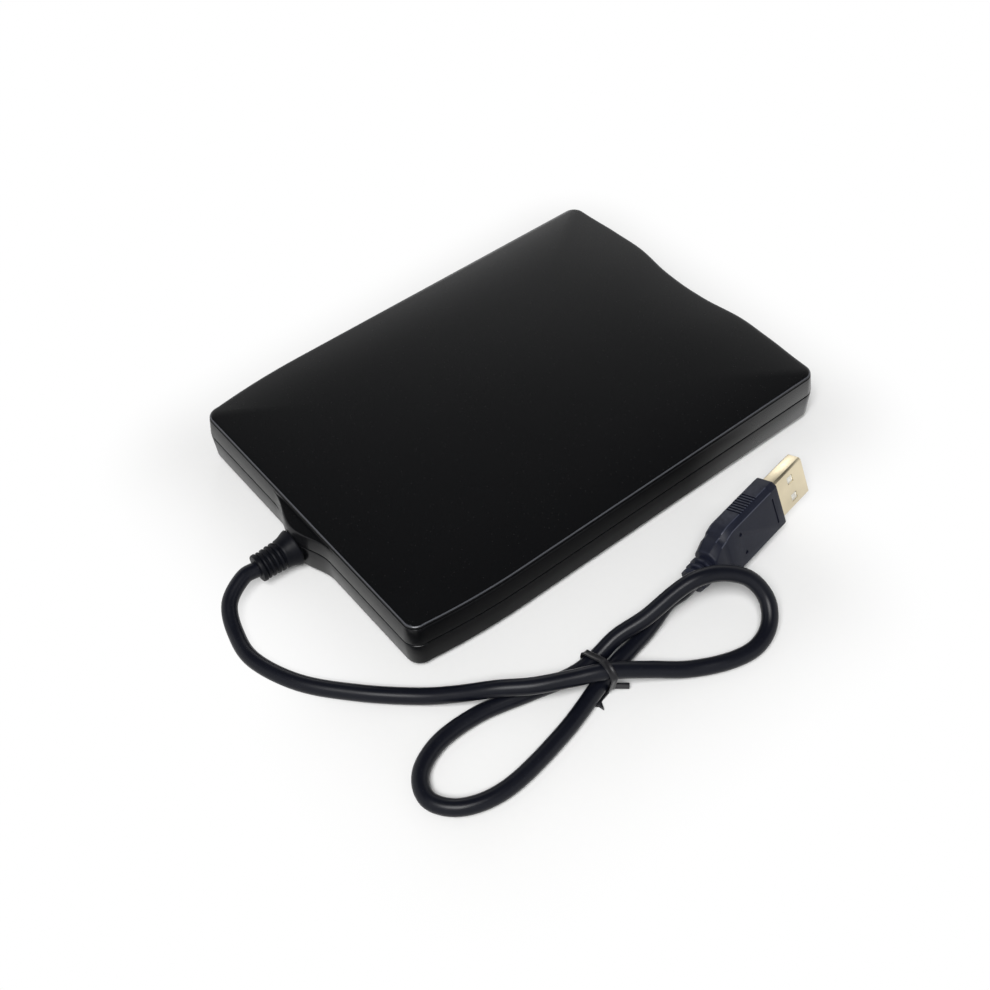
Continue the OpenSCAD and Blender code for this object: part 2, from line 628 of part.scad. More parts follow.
// Electronics.
module control_board() {
  color("#2b6b45") place() difference() {
    bx(-46, -17, 30, 60, board_z, board_top);
    cz(-frame_screws[1].x, frame_screws[1].y, 0, 20, 2.4);
    for (s = board_screws_at) cz(s.x, s.y, 0, 20, 1.02);
  }
}
module board_screws() {
  color("#c8c8cc") place() for (s = board_screws_at) {
    cz(s.x, s.y, deck_z, board_z, 2.0);
    cz(s.x, s.y, board_z - e, board_top + e, 1.0);
    cz(s.x, s.y, board_top, board_top + 0.8, 1.9);
  }
}
module control_chips() {
  color("#1c1c1f") place() union() {
    bx(-38, -28, 38, 48, board_top, board_top + 1.4);
    bx(-25, -20, 37.5, 43.5, board_top, board_top + 1.2);
  }
}
module crystal() {
  color("#cfd2d5") place() bx(-26, -19, 45, 48, board_top, board_top + 2.4);
}
module board_capacitors() {
  color("#8a6a3c") place() union() {
    for (y = [40, 46]) cz(-42.5, y, board_top, board_top + 4.2, 2.0);
    for (x = [-34, -30]) bx(x, x + 2, 50, 51.2, board_top, board_top + 0.8);
  }
}
module cable_connector() {
  color("#e8e6de") place() bx(-34, -24, 54.5, 58.5, board_top, board_top + 4.0);
}
module inner_wires() {
  y0 = y_rear + boss_out - 4.6;
  color("#a83232") place() for (k = [0 : 3])
    tube([[1.6 * k - 2.4, y0, 6.9], [1.6 * k - 2.4, y0 - 1.6, 6.9], [0.9 * k - 8, 67.4 - 1.3 * k, 8.6],
      [0.6 * k - 19, 65.6 - 1.4 * k, 10.4], [1.0 * k - 28, 63.4 - 1.0 * k, 10],
      [1.5 * k - 31.2, 60.6, 9.2], [1.5 * k - 31.2, 58.5, 9.2]], 0.38, 6, 2);
}
module flat_ribbon() {
  color("#d8d6cf") place() translate([-30, 0, 0]) rotate([90, 0, 90]) linear_extrude(height = 8)
    polygon([[-4, deck_z + 0.8], [4, deck_z + 0.8], [6, deck_z + 0.05], [24, deck_z + 0.05],
      [29, deck_z + 2.9], [33, deck_z + 2.8], [33, deck_z + 3.1], [28.8, deck_z + 3.2],
      [23.8, deck_z + 0.35], [6.2, deck_z + 0.35], [4.2, deck_z + 1.1], [-4, deck_z + 1.1]]);
}
module ribbon_connectors() {
  color("#efece2") place() union() {
    bx(-31, -21, -6, -4, deck_z + 0.8, deck_z + 2.4);
    bx(-31, -21, 33, 35.4, board_top, board_top + 1.6);
  }
}
module switch_bodies() {
  color("#2a2a2e") place() difference() {
    union() {
      bx(35, 41, -54, -48, deck_z, 7.4);
      bx(-41, -27, -54, -48, deck_z, 7.4);
    }
    for (x = [-38, -30, 38]) cz(x, plunger_y, 5.4, 10, plunger_r + 0.06);
  }
}
module plunger(x) {
  color("#e9e7e0") place() cz(x, plunger_y, 6.8, 9.4, plunger_r);
}
module plunger_left() {
  plunger(-38);
}
module plunger_right() {
  plunger(38);
}
module plunger_inner() {
  plunger(-30);
}

top_cover();
bottom_cover();
front_bezel();
dust_flap();
eject_button();
led_lens();
led();
rubber_feet();
case_screws();
strain_relief();
cord();
usb_plug_body();
usb_plug_shell();
usb_plug_insulator();
usb_plug_contacts();
cord_tie();
chassis_frame();
chassis_screws();
disk_holder();
eject_plate();
eject_springs();
shutter_lever();
lever_pivot();
motor_board();
stator_poles();
stator_coils();
spindle_bearing();
rotor_cup();
rotor_magnet();
spindle_hub();
drive_pin();
head_carriage();
lower_head();
upper_head_arm();
upper_head();
arm_pin();
arm_spring();
guide_rods();
rod_clips();
stepper_motor();
motor_bracket();
lead_screw();
screw_bearing();
screw_follower();
control_board();
board_screws();
control_chips();
crystal();
board_capacitors();
cable_connector();
inner_wires();
flat_ribbon();
ribbon_connectors();
switch_bodies();
plunger_left();
plunger_right();
plunger_inner();
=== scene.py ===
"""Looks of an external floppy disk drive with a tied cord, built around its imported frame."""

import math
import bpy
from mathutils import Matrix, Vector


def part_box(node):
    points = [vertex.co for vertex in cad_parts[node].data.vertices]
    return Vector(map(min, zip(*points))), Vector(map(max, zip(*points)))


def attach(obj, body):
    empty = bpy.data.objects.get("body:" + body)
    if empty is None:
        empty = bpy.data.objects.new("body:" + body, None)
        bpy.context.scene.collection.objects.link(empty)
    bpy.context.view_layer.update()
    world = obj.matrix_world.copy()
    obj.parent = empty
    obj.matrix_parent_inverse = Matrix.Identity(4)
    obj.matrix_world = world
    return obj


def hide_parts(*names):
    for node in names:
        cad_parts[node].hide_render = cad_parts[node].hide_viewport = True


bl_info = {
    "name": "External Disk Drive Looks",
    "version": (1, 0, 0),
    "blender": (4, 5, 0),
    "location": "View3D > Sidebar > Disk Drive",
    "description": "Builds the visible pieces and finishes of an external floppy disk drive",
    "category": "Object",
}

import bmesh
import bpy
from mathutils import Matrix, Vector

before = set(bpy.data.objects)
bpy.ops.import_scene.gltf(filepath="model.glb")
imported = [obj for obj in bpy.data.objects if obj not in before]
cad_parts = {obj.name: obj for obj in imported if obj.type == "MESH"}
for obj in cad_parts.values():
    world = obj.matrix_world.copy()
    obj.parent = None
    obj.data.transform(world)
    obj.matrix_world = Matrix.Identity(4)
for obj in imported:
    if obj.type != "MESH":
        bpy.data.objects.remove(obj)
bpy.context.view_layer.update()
COVER_LOW, COVER_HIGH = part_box("top_cover")
BASE_LOW, BASE_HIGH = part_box("bottom_cover")

MM = 0.001
# The frame lies this far along y, in millimetres, from the part's drawing.
DRAWING_SHIFT = -2.5


# ---------------------------------------------------------------- sizes and colours


class DriveCaseSettings(bpy.types.PropertyGroup):
    """Sizes and colours of the two covers"""

    width: bpy.props.FloatProperty(
        name="Width",
        description="Width of the case at the parting line",
        default=COVER_HIGH.x - COVER_LOW.x,
        unit="LENGTH",
    )
    height: bpy.props.FloatProperty(
        name="Height", description="Height of the top face", default=COVER_HIGH.z, unit="LENGTH"
    )
    seam_height: bpy.props.FloatProperty(
        name="Seam height",
        description="Height of the parting line between the covers",
        default=BASE_HIGH.z,
        unit="LENGTH",
    )
    foot_height: bpy.props.FloatProperty(
        name="Foot height",
        description="Height of the underside above the desk",
        default=BASE_LOW.z,
        unit="LENGTH",
    )
    corner_radius: bpy.props.FloatProperty(
        name="Corner radius", description="Radius of the corners in plan", default=0.0045, unit="LENGTH"
    )
    front_scoop: bpy.props.FloatProperty(
        name="Front scoop",
        description="Depth of the scoop in the middle of the front edge",
        default=0.0023,
        unit="LENGTH",
    )
    rear_narrowing: bpy.props.FloatProperty(
        name="Rear narrowing",
        description="How far each long side turns in at the rear corner",
        default=0.0021,
        unit="LENGTH",
    )
    boss_reach: bpy.props.FloatProperty(
        name="Boss reach",
        description="Reach of the cord boss behind the rear wall",
        default=0.0034,
        unit="LENGTH",
    )
    boss_half_width: bpy.props.FloatProperty(
        name="Boss half width",
        description="Half width of the cord boss at its foot",
        default=0.0135,
        unit="LENGTH",
    )
    colour: bpy.props.FloatVectorProperty(
        name="Case colour",
        description="Colour of the moulded covers",
        default=(0.003, 0.0032, 0.0037),
        subtype="COLOR",
        min=0.0,
        max=1.0,
    )
    # A lighter colour on the top face's rounded rim: a painted highlight.
    rim_highlight_colour: bpy.props.FloatVectorProperty(
        name="Edge colour",
        description="Colour of the covers' rubbed, polished edges",
        default=(0.06, 0.063, 0.072),
        subtype="COLOR",
        min=0.0,
        max=1.0,
    )
    flap_colour: bpy.props.FloatVectorProperty(
        name="Flap colour",
        description="Colour of the dust flap and the eject button",
        default=(0.012, 0.012, 0.014),
        subtype="COLOR",
        min=0.0,
        max=1.0,
    )


class DriveCordSettings(bpy.types.PropertyGroup):
    """Sizes and colours of the cord, its strain relief, tie and plug"""

    diameter: bpy.props.FloatProperty(
        name="Diameter", description="Diameter of the cord", default=0.0043, unit="LENGTH"
    )
    length: bpy.props.FloatProperty(
        name="Length",
        description="Length of the cord from the strain relief to the plug's boot",
        default=0.383,
        unit="LENGTH",
    )
    colour: bpy.props.FloatVectorProperty(
        name="Cord colour",
        description="Colour of the cord's jacket",
        default=(0.004, 0.0047, 0.0085),
        subtype="COLOR",
        min=0.0,
        max=1.0,
    )
    plug_colour: bpy.props.FloatVectorProperty(
        name="Plug colour",
        description="Colour of the moulded plug body",
        default=(0.006, 0.0075, 0.016),
        subtype="COLOR",
        min=0.0,
        max=1.0,
    )
    shell_colour: bpy.props.FloatVectorProperty(
        name="Shell colour",
        description="Colour of the plated plug shell",
        default=(0.71, 0.625, 0.45),
        subtype="COLOR",
        min=0.0,
        max=1.0,
    )


class DriveStageSettings(bpy.types.PropertyGroup):
    """Floor, lamps and camera"""

    floor_colour: bpy.props.FloatVectorProperty(
        name="Floor colour",
        description="Colour of the pale floor",
        default=(0.84, 0.84, 0.835),
        subtype="COLOR",
        min=0.0,
        max=1.0,
    )
    key_power: bpy.props.FloatProperty(
        name="Key power",
        description="Power of the large soft lamp above the cord's side",
        default=14.5,
        min=0.0,
        unit="POWER",
    )
    sheen_power: bpy.props.FloatProperty(
        name="Sheen power",
        description="Power of the small soft lamp beyond the front edge",
        default=0.55,
        min=0.0,
        unit="POWER",
    )
    room_level: bpy.props.FloatProperty(
        name="Room level", description="Strength of the even light of the room", default=0.22, min=0.0
    )
    lens: bpy.props.FloatProperty(
        name="Lens", description="Focal length for a 36 mm frame", default=48.59, unit="CAMERA"
    )


# ---------------------------------------------------------------- shapes


def mm(length):
    """Millimetres of a size in metres."""
    return length / MM


def place(x, y, z):
    """A point of the drawing, in millimetres, as a point of the frame."""
    return Vector((x, y + DRAWING_SHIFT, z)) * MM


def along(table, x):
    """Value of a table of pairs at x, on a smooth line through them."""
    k = max(i for i in range(len(table) - 1) if table[i][0] <= x)
    (x0, y0), (x1, y1) = table[k], table[k + 1]

    def slope(i):
        """How steep the line is at pair i; level at the first."""
        if i == 0:
            return 0.0
        a, b = table[i - 1], table[min(i + 1, len(table) - 1)]
        return (b[1] - a[1]) / (b[0] - a[0])

    span = x1 - x0
    t = (x - x0) / span
    return (
        y0 * (1 + 2 * t) * (1 - t) ** 2
        + span * slope(k) * t * (1 - t) ** 2
        + y1 * t * t * (3 - 2 * t)
        + span * slope(k + 1) * t * t * (t - 1)
    )


def new_piece(name, points, faces, sharp_degrees=35.0):
    """A mesh object of these points and faces, smooth up to that angle."""
    mesh = bpy.data.meshes.new(name)
    mesh.from_pydata([tuple(p) for p in points], [], faces)
    tidy = bmesh.new()
    tidy.from_mesh(mesh)
    bmesh.ops.recalc_face_normals(tidy, faces=tidy.faces)
    tidy.to_mesh(mesh)
    tidy.free()
    shade(mesh, sharp_degrees)
    piece = bpy.data.objects.new(name, mesh)
    bpy.context.scene.collection.objects.link(piece)
    return piece


def shade(mesh, sharp_degrees):
    """Smooth shading, with edges sharper than the angle kept."""
    for face in mesh.polygons:
        face.use_smooth = True
    mesh.set_sharp_from_angle(angle=math.radians(sharp_degrees))


def ring_faces(rows, count, closed_rows=False):
    """Quads between rows of a ring mesh; closed_rows joins the last row to the first."""
    faces = []
    for r in range(rows if closed_rows else rows - 1):
        here, there = r * count, (r + 1) % rows * count
        for i in range(count):
            j = (i + 1) % count
            faces.append((here + i, here + j, there + j, there + i))
    return faces


def bar_faces(start, count):
    """The sides and the ends of a bar between two rings, whose points begin at start."""
    sides = [tuple(start + k for k in face) for face in ring_faces(2, count)]
    ends = [tuple(range(start + end, start + end + count)) for end in (0, count)]
    return sides, ends


def loft(name, rings, sharp_degrees=35.0, hollow=False):
    """A solid through rings of equal count, with flat ends; a hollow one's last ring joins its first."""
    count = len(rings[0])
    faces = ring_faces(len(rings), count, hollow)
    if not hollow:
        faces.append(tuple(range(count)))
        faces.append(tuple(range((len(rings) - 1) * count, len(rings) * count)))
    return new_piece(name, [p for ring in rings for p in ring], faces, sharp_degrees)


def prisms(name, profile, spans, locate):
    """Bars along X: a profile of (y, z) in millimetres over each span, set by the locate function."""
    points, faces = [], []
    for span in spans:
        sides, ends = bar_faces(len(points), len(profile))
        points += [locate(x, y, z) for x in span for y, z in profile]
        faces += sides + ends
    return new_piece(name, points, faces, 30.0)


def circle(sides):
    """The cosine and sine of each corner of a circle."""
    turns = [math.tau * k / sides for k in range(sides)]
    return [(math.cos(turn), math.sin(turn)) for turn in turns]


def lathe(name, profile, origin, sides):
    """A solid of revolution about Y: the profile is (along, radius) in millimetres."""
    rings = []
    for reach, radius in profile:
        rings.append([origin + Vector((radius * x, reach, radius * z)) * MM for x, z in circle(sides)])
    return loft(name, rings)


def box_solid(low, high, matrix=Matrix.Identity(4)):
    """A box between two corners in metres, turned by the matrix, used to cut others."""
    ends = list(zip(low, high))
    corners = [matrix @ Vector((x, y, z)) for z in ends[2] for y in ends[1] for x in ends[0]]
    faces = [(0, 2, 3, 1), (4, 5, 7, 6), (0, 1, 5, 4), (2, 6, 7, 3), (0, 4, 6, 2), (1, 3, 7, 5)]
    return new_piece("cutter", corners, faces)


def rod_solid(start, end, radius, sides=32):
    """A round bar between two points in metres, used to cut others."""
    way = (end - start).normalized()
    side = way.orthogonal().normalized()
    up = way.cross(side)
    spokes = [(side * x + up * y) * radius for x, y in circle(sides)]
    return loft("cutter", [[centre + spoke for spoke in spokes] for centre in (start, end)])


def settle_mesh(piece):
    """The piece's mesh with its modifiers applied."""
    bpy.context.view_layer.update()
    graph = bpy.context.evaluated_depsgraph_get()
    mesh = bpy.data.meshes.new_from_object(piece.evaluated_get(graph))
    old = piece.data
    piece.modifiers.clear()
    piece.data = mesh
    mesh.name = piece.name
    bpy.data.meshes.remove(old)


def carve(piece, cutters, sharp_degrees):
    """Cuts the cutters out of the piece and removes them."""
    for cutter in cutters:
        cut = piece.modifiers.new("cut", "BOOLEAN")
        cut.operation = "DIFFERENCE"
        cut.solver = "EXACT"
        cut.object = cutter
    settle_mesh(piece)
    for cutter in cutters:
        bpy.data.objects.remove(cutter, do_unlink=True)
    shade(piece.data, sharp_degrees)


def soften(piece, width, degrees):
    """A small round, its width in millimetres, on the piece's edges sharper than the angle."""
    bevel = piece.modifiers.new("round", "BEVEL")
    bevel.width = width * MM
    bevel.segments = 2
    bevel.limit_method = "ANGLE"
    bevel.angle_limit = math.radians(degrees)
    bevel.use_clamp_overlap = True
    bevel.harden_normals = False


def set_finish(piece, finish):
    """Gives the piece this finish alone."""
    piece.data.materials.clear()
    piece.data.materials.append(bpy.data.materials[finish])


def second_finish(piece, finish, chosen):
    """Gives the faces that the test chooses a second finish."""
    piece.data.materials.append(bpy.data.materials[finish])
    for face in piece.data.polygons:
        if chosen(face):
            face.material_index = 1


def edge_band(low, high, least_tilt, most_tilt):
    """A test for faces of a rounded edge: between two heights, and tilted up between two limits."""
    return lambda face: low < face.center.z / MM < high and least_tilt < face.normal.z < most_tilt


def clothe(piece, body, finish, replaced=()):
    """Gives a new piece its finish and body, and hides the nodes that it stands for."""
    set_finish(piece, finish)
    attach(piece, body)
    if replaced:
        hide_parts(*replaced)


# ---------------------------------------------------------------- shader effects

WHITE = (1.0, 1.0, 1.0, 1.0)
ZERO = (0.0, 0.0, 0.0)


def feed(node, entries):
    """Sets a node's inputs: another node's output is linked, and anything else is a plain value."""
    for key, value in dict(entries).items():
        if isinstance(value, bpy.types.NodeSocket):
            node.id_data.links.new(value, node.inputs[key])
        else:
            node.inputs[key].default_value = value
    return node


def add_node(tree, kind, entries=(), **settings):
    """A shader node with its settings and its inputs."""
    node = tree.nodes.new("ShaderNode" + kind)
    for key, value in settings.items():
        setattr(node, key, value)
    return feed(node, entries)


def surface_spot(tree):
    """The place on the piece's surface, in metres."""
    return add_node(tree, "TexCoord").outputs["Object"]


def noise(tree, spot, scale, detail, roughness=0.5):
    """Noise of that scale at the spot."""
    entries = {"Vector": spot, "Scale": scale, "Detail": detail, "Roughness": roughness}
    return add_node(tree, "TexNoise", entries).outputs["Fac"]


def ramp(tree, value, low, high, start=0.0, end=1.0, **settings):
    """Goes from start to end while the value goes from low to high."""
    entries = {"Value": value, "From Min": low, "From Max": high, "To Min": start, "To Max": end}
    return add_node(tree, "MapRange", entries, **settings).outputs["Result"]


def maths(tree, operation, first, second, clamp=False):
    """Two values joined by the operation."""
    settings = {"operation": operation, "use_clamp": clamp}
    return add_node(tree, "Math", {0: first, 1: second}, **settings).outputs["Value"]


def vector_maths(tree, operation, first, second=ZERO):
    """Two vectors joined by the operation; returns the node's outputs."""
    return add_node(tree, "VectorMath", {0: first, 1: second}, operation=operation).outputs


def bumped(tree, height, strength, distance):
    """The normal of a surface that rises with the height."""
    entries = {"Height": height, "Strength": strength, "Distance": distance}
    return add_node(tree, "Bump", entries).outputs["Normal"]


def effect_group(name, inputs, outputs):
    """A new shader node group; returns it, the sockets of its inputs and its end node."""
    group = bpy.data.node_groups.new(name, "ShaderNodeTree")
    for label, value in inputs.items():
        kind = "NodeSocketVector" if isinstance(value, tuple) else "NodeSocketFloat"
        group.interface.new_socket(name=label, in_out="INPUT", socket_type=kind).default_value = value
    for label in outputs:
        kind = "NodeSocketVector" if label == "Normal" else "NodeSocketFloat"
        group.interface.new_socket(name=label, in_out="OUTPUT", socket_type=kind)
    return group, group.nodes.new("NodeGroupInput").outputs, group.nodes.new("NodeGroupOutput")


def build_grain_group():
    """Fine moulded texture: tiny bumps, and roughness and tint that drift over the surface."""
    group, source, sink = effect_group(
        "moulded_grain",
        {"Scale": 2600.0, "Depth": 0.25, "Low": 0.35, "High": 0.45},
        ("Roughness", "Tint", "Normal"),
    )
    spot = surface_spot(group)
    fine = noise(group, spot, source["Scale"], 2.0, 0.6)
    broad = noise(group, spot, 70.0, 3.0, 0.55)
    effects = {
        "Roughness": ramp(group, broad, 0.3, 0.7, source["Low"], source["High"]),
        "Tint": ramp(group, fine, 0.3, 0.7, 0.86, 1.14),
        "Normal": bumped(group, fine, source["Depth"], 0.00004),
    }
    feed(sink, effects)


def build_worn_and_highlit_group():
    """Mask of convex edges, broken up by noise, that lightens them: partly rubbed, polished edges and partly
    a painted highlight.
    """
    group, source, sink = effect_group("rubbed_and_highlit_edges", {"Amount": 0.5, "Breakup": 900.0}, ("Mask",))
    edge = ramp(group, add_node(group, "NewGeometry").outputs["Pointiness"], 0.52, 0.62)
    ragged = ramp(group, noise(group, surface_spot(group), source["Breakup"], 3.0), 0.3, 0.6)
    both = maths(group, "MULTIPLY", edge, ragged)
    feed(sink, {"Mask": maths(group, "MULTIPLY", both, source["Amount"], True)})


def build_dust_group():
    """Mask of fine dust specks that lie on faces that look up."""
    group, source, sink = effect_group("settled_dust", {"Scale": 700.0, "Amount": 0.2}, ("Mask",))
    split = add_node(group, "SeparateXYZ", {"Vector": add_node(group, "NewGeometry").outputs["Normal"]})
    upward = ramp(group, split.outputs["Z"], 0.6, 0.95)
    specks = add_node(group, "TexVoronoi", {"Vector": surface_spot(group), "Scale": source["Scale"]})
    dots = ramp(group, specks.outputs["Distance"], 0.05, 0.13, 1.0, 0.0)
    both = maths(group, "MULTIPLY", dots, upward)
    feed(sink, {"Mask": maths(group, "MULTIPLY", both, source["Amount"], True)})


def build_gloss_group():
    """Where the case keeps its gloss: its top and ends do, and its long sides are dulled by handling."""
    group, source, sink = effect_group("handled_gloss", {"Top": 1.0, "Ends": 0.45, "Sides": 0.0}, ("Mask",))
    surface = add_node(group, "TexCoord").outputs
    split = add_node(group, "SeparateXYZ", {"Vector": surface["Object"]})
    held = ramp(group, split.outputs["Y"], -0.022, -0.066, source["Sides"], 1.0)
    gloss = add_node(group, "CombineXYZ", {"X": held, "Y": source["Ends"], "Z": source["Top"]})
    shares = vector_maths(group, "MULTIPLY", surface["Normal"], surface["Normal"])["Vector"]
    total = vector_maths(group, "DOT_PRODUCT", shares, gloss.outputs["Vector"])["Value"]
    uneven = ramp(group, noise(group, surface["Object"], 160.0, 4.0, 0.6), 0.3, 0.7, 0.97, 1.0)
    feed(sink, {"Mask": maths(group, "MULTIPLY", total, uneven, True)})


def build_drawn_metal_group():
    """Fine streaks of drawn or rolled metal along one direction."""
    group, source, sink = effect_group(
        "drawn_metal",
        {"Stretch": (300.0, 6000.0, 6000.0), "Low": 0.2, "High": 0.35, "Depth": 0.1},
        ("Roughness", "Tint", "Normal"),
    )
    spot = surface_spot(group)
    drawn = vector_maths(group, "MULTIPLY", spot, source["Stretch"])["Vector"]
    streaks = noise(group, drawn, 1.0, 3.0, 0.6)
    effects = {
        "Roughness": ramp(group, streaks, 0.3, 0.7, source["Low"], source["High"]),
        "Tint": ramp(group, noise(group, spot, 120.0, 2.0), 0.3, 0.7, 0.88, 1.08),
        "Normal": bumped(group, streaks, source["Depth"], 0.00002),
    }
    feed(sink, effects)


def build_track_group():
    """Copper tracks and pads under a green mask, as a mask and a height."""
    group, source, sink = effect_group("board_tracks", {"Scale": 260.0}, ("Mask", "Height"))
    where = {"Vector": surface_spot(group), "Scale": source["Scale"]}
    lines = {"Mortar Size": 0.06, "Mortar Smooth": 0.1, "Brick Width": 0.9, "Row Height": 0.22}
    tracks = add_node(group, "TexBrick", {**where, **lines}, offset=0.37)
    pads = add_node(group, "TexVoronoi", {**where, "Randomness": 0.35})
    dots = ramp(group, pads.outputs["Distance"], 0.12, 0.16, 1.0, 0.0)
    feed(sink, {"Mask": dots, "Height": maths(group, "MAXIMUM", tracks.outputs["Fac"], dots)})


# ---------------------------------------------------------------- finishes

DUST_COLOUR = (0.35, 0.34, 0.32)
# Lighter colour laid on convex edges: partly rubbed, polished edges and partly a painted highlight.
RUBBED_AND_HIGHLIGHT_COLOUR = (0.05, 0.05, 0.055)


def new_finish(name, constants=()):
    """A material with its Principled shader's constant values; returns the shader."""
    finish = bpy.data.materials.new(name)
    finish.use_nodes = True
    return feed(finish.node_tree.nodes["Principled BSDF"], constants)


def use_effect(tree, name, entries=()):
    """A shader node group placed in a material with its own values; returns its outputs."""
    return add_node(tree, "Group", entries, node_tree=bpy.data.node_groups[name]).outputs


def mix_base(shader, blend, entries):
    """Gives the shader two mixed colours as its base colour, and returns the mixed one."""
    mixed = add_node(shader.id_data, "Mix", entries, data_type="RGBA", blend_type=blend).outputs["Result"]
    feed(shader, {"Base Color": mixed})
    return mixed


def tinted(shader, colour, tint):
    """A colour times a tint, as the base colour."""
    return mix_base(shader, "MULTIPLY", {"Factor": 1.0, "A": (*colour, 1.0), "B": tint})


def overlaid(shader, lower, colour, mask):
    """A colour laid over the lower one where the mask says, as the base colour."""
    return mix_base(shader, "MIX", {"Factor": mask, "A": lower, "B": (*colour, 1.0)})


def moulded_finish(name, colour, grain, wear_and_highlight=0.0, wear_and_highlight_colour=RUBBED_AND_HIGHLIGHT_COLOUR, dust=0.0, **constants):
    """Moulded plastic, vinyl or rubber: grain, convex edges lightened partly as rubbed edges and partly as a
    painted highlight, and a little dust; returns the shader.

    The grain is its scale, its depth, and the lowest and the highest roughness.
    """
    shader = new_finish(name, constants)
    tree = shader.id_data
    surface = use_effect(tree, "moulded_grain", dict(zip(("Scale", "Depth", "Low", "High"), grain)))
    base = tinted(shader, colour, surface["Tint"])
    feed(shader, {"Roughness": surface["Roughness"], "Normal": surface["Normal"]})
    # Lightens convex edges: partly rubbed, polished edges and partly a painted highlight.
    if wear_and_highlight:
        base = overlaid(shader, base, wear_and_highlight_colour, use_effect(tree, "rubbed_and_highlit_edges", {"Amount": wear_and_highlight})["Mask"])
    if dust:
        overlaid(shader, base, DUST_COLOUR, use_effect(tree, "settled_dust", {"Amount": dust})["Mask"])
    return shader


def lacquered_finish(name, colour, gloss):
    """The covers' plastic, with a clear gloss that is strong on the top and weak on the handled sides."""
    coat = {"IOR": 1.1, "Coat IOR": 1.5, "Coat Roughness": 0.19}
    # The covers' convex edges are lightened: partly rubbed edges and partly a painted highlight.
    shader = moulded_finish(name, colour, (2600.0, 0.22, 0.36, 0.44), wear_and_highlight=0.5, dust=0.03, **coat)
    feed(shader, {"Coat Weight": use_effect(shader.id_data, "handled_gloss", gloss)["Mask"]})


def metal_finish(name, colour, stretch, low, high, depth):
    """Bare or plated metal with drawn streaks, between the low and the high roughness."""
    shader = new_finish(name, {"Metallic": 1.0})
    streaks = {"Stretch": stretch, "Low": low, "High": high, "Depth": depth}
    drawn = use_effect(shader.id_data, "drawn_metal", streaks)
    tinted(shader, colour, drawn["Tint"])
    feed(shader, {"Roughness": drawn["Roughness"], "Normal": drawn["Normal"]})


def board_finish(name):
    """Green circuit board with raised tracks and bright pads."""
    shader = new_finish(name, {"Roughness": 0.38})
    tree = shader.id_data
    tracks = use_effect(tree, "board_tracks")
    base = tinted(shader, (0.02, 0.12, 0.05), use_effect(tree, "moulded_grain", {"Scale": 900.0})["Tint"])
    lighter = overlaid(shader, base, (0.06, 0.24, 0.10), tracks["Height"])
    overlaid(shader, lighter, (0.72, 0.70, 0.66), tracks["Mask"])
    feed(shader, {"Normal": bumped(tree, tracks["Height"], 0.4, 0.00008)})


def ribbed_finish(name, colour, constants, ribs, shades, strength, **pattern):
    """Fine ribs side by side, as of wound wire or flat ribbon, in the height and in the shade."""
    shader = new_finish(name, constants)
    tree = shader.id_data
    wave = add_node(tree, "TexWave", {"Vector": surface_spot(tree), **ribs}, **pattern).outputs["Fac"]
    tinted(shader, colour, ramp(tree, wave, 0.0, 1.0, *shades))
    feed(shader, {"Normal": bumped(tree, wave, strength, 0.0001)})


def cast_finish(name, colour, roughness, spot_colour, scale):
    """Ceramic, magnet or cast piece with fine spots in its body."""
    shader = new_finish(name, {"Roughness": roughness})
    tree = shader.id_data
    spots = ramp(tree, noise(tree, surface_spot(tree), scale, 4.0), 0.45, 0.65)
    overlaid(shader, (*colour, 1.0), spot_colour, spots)


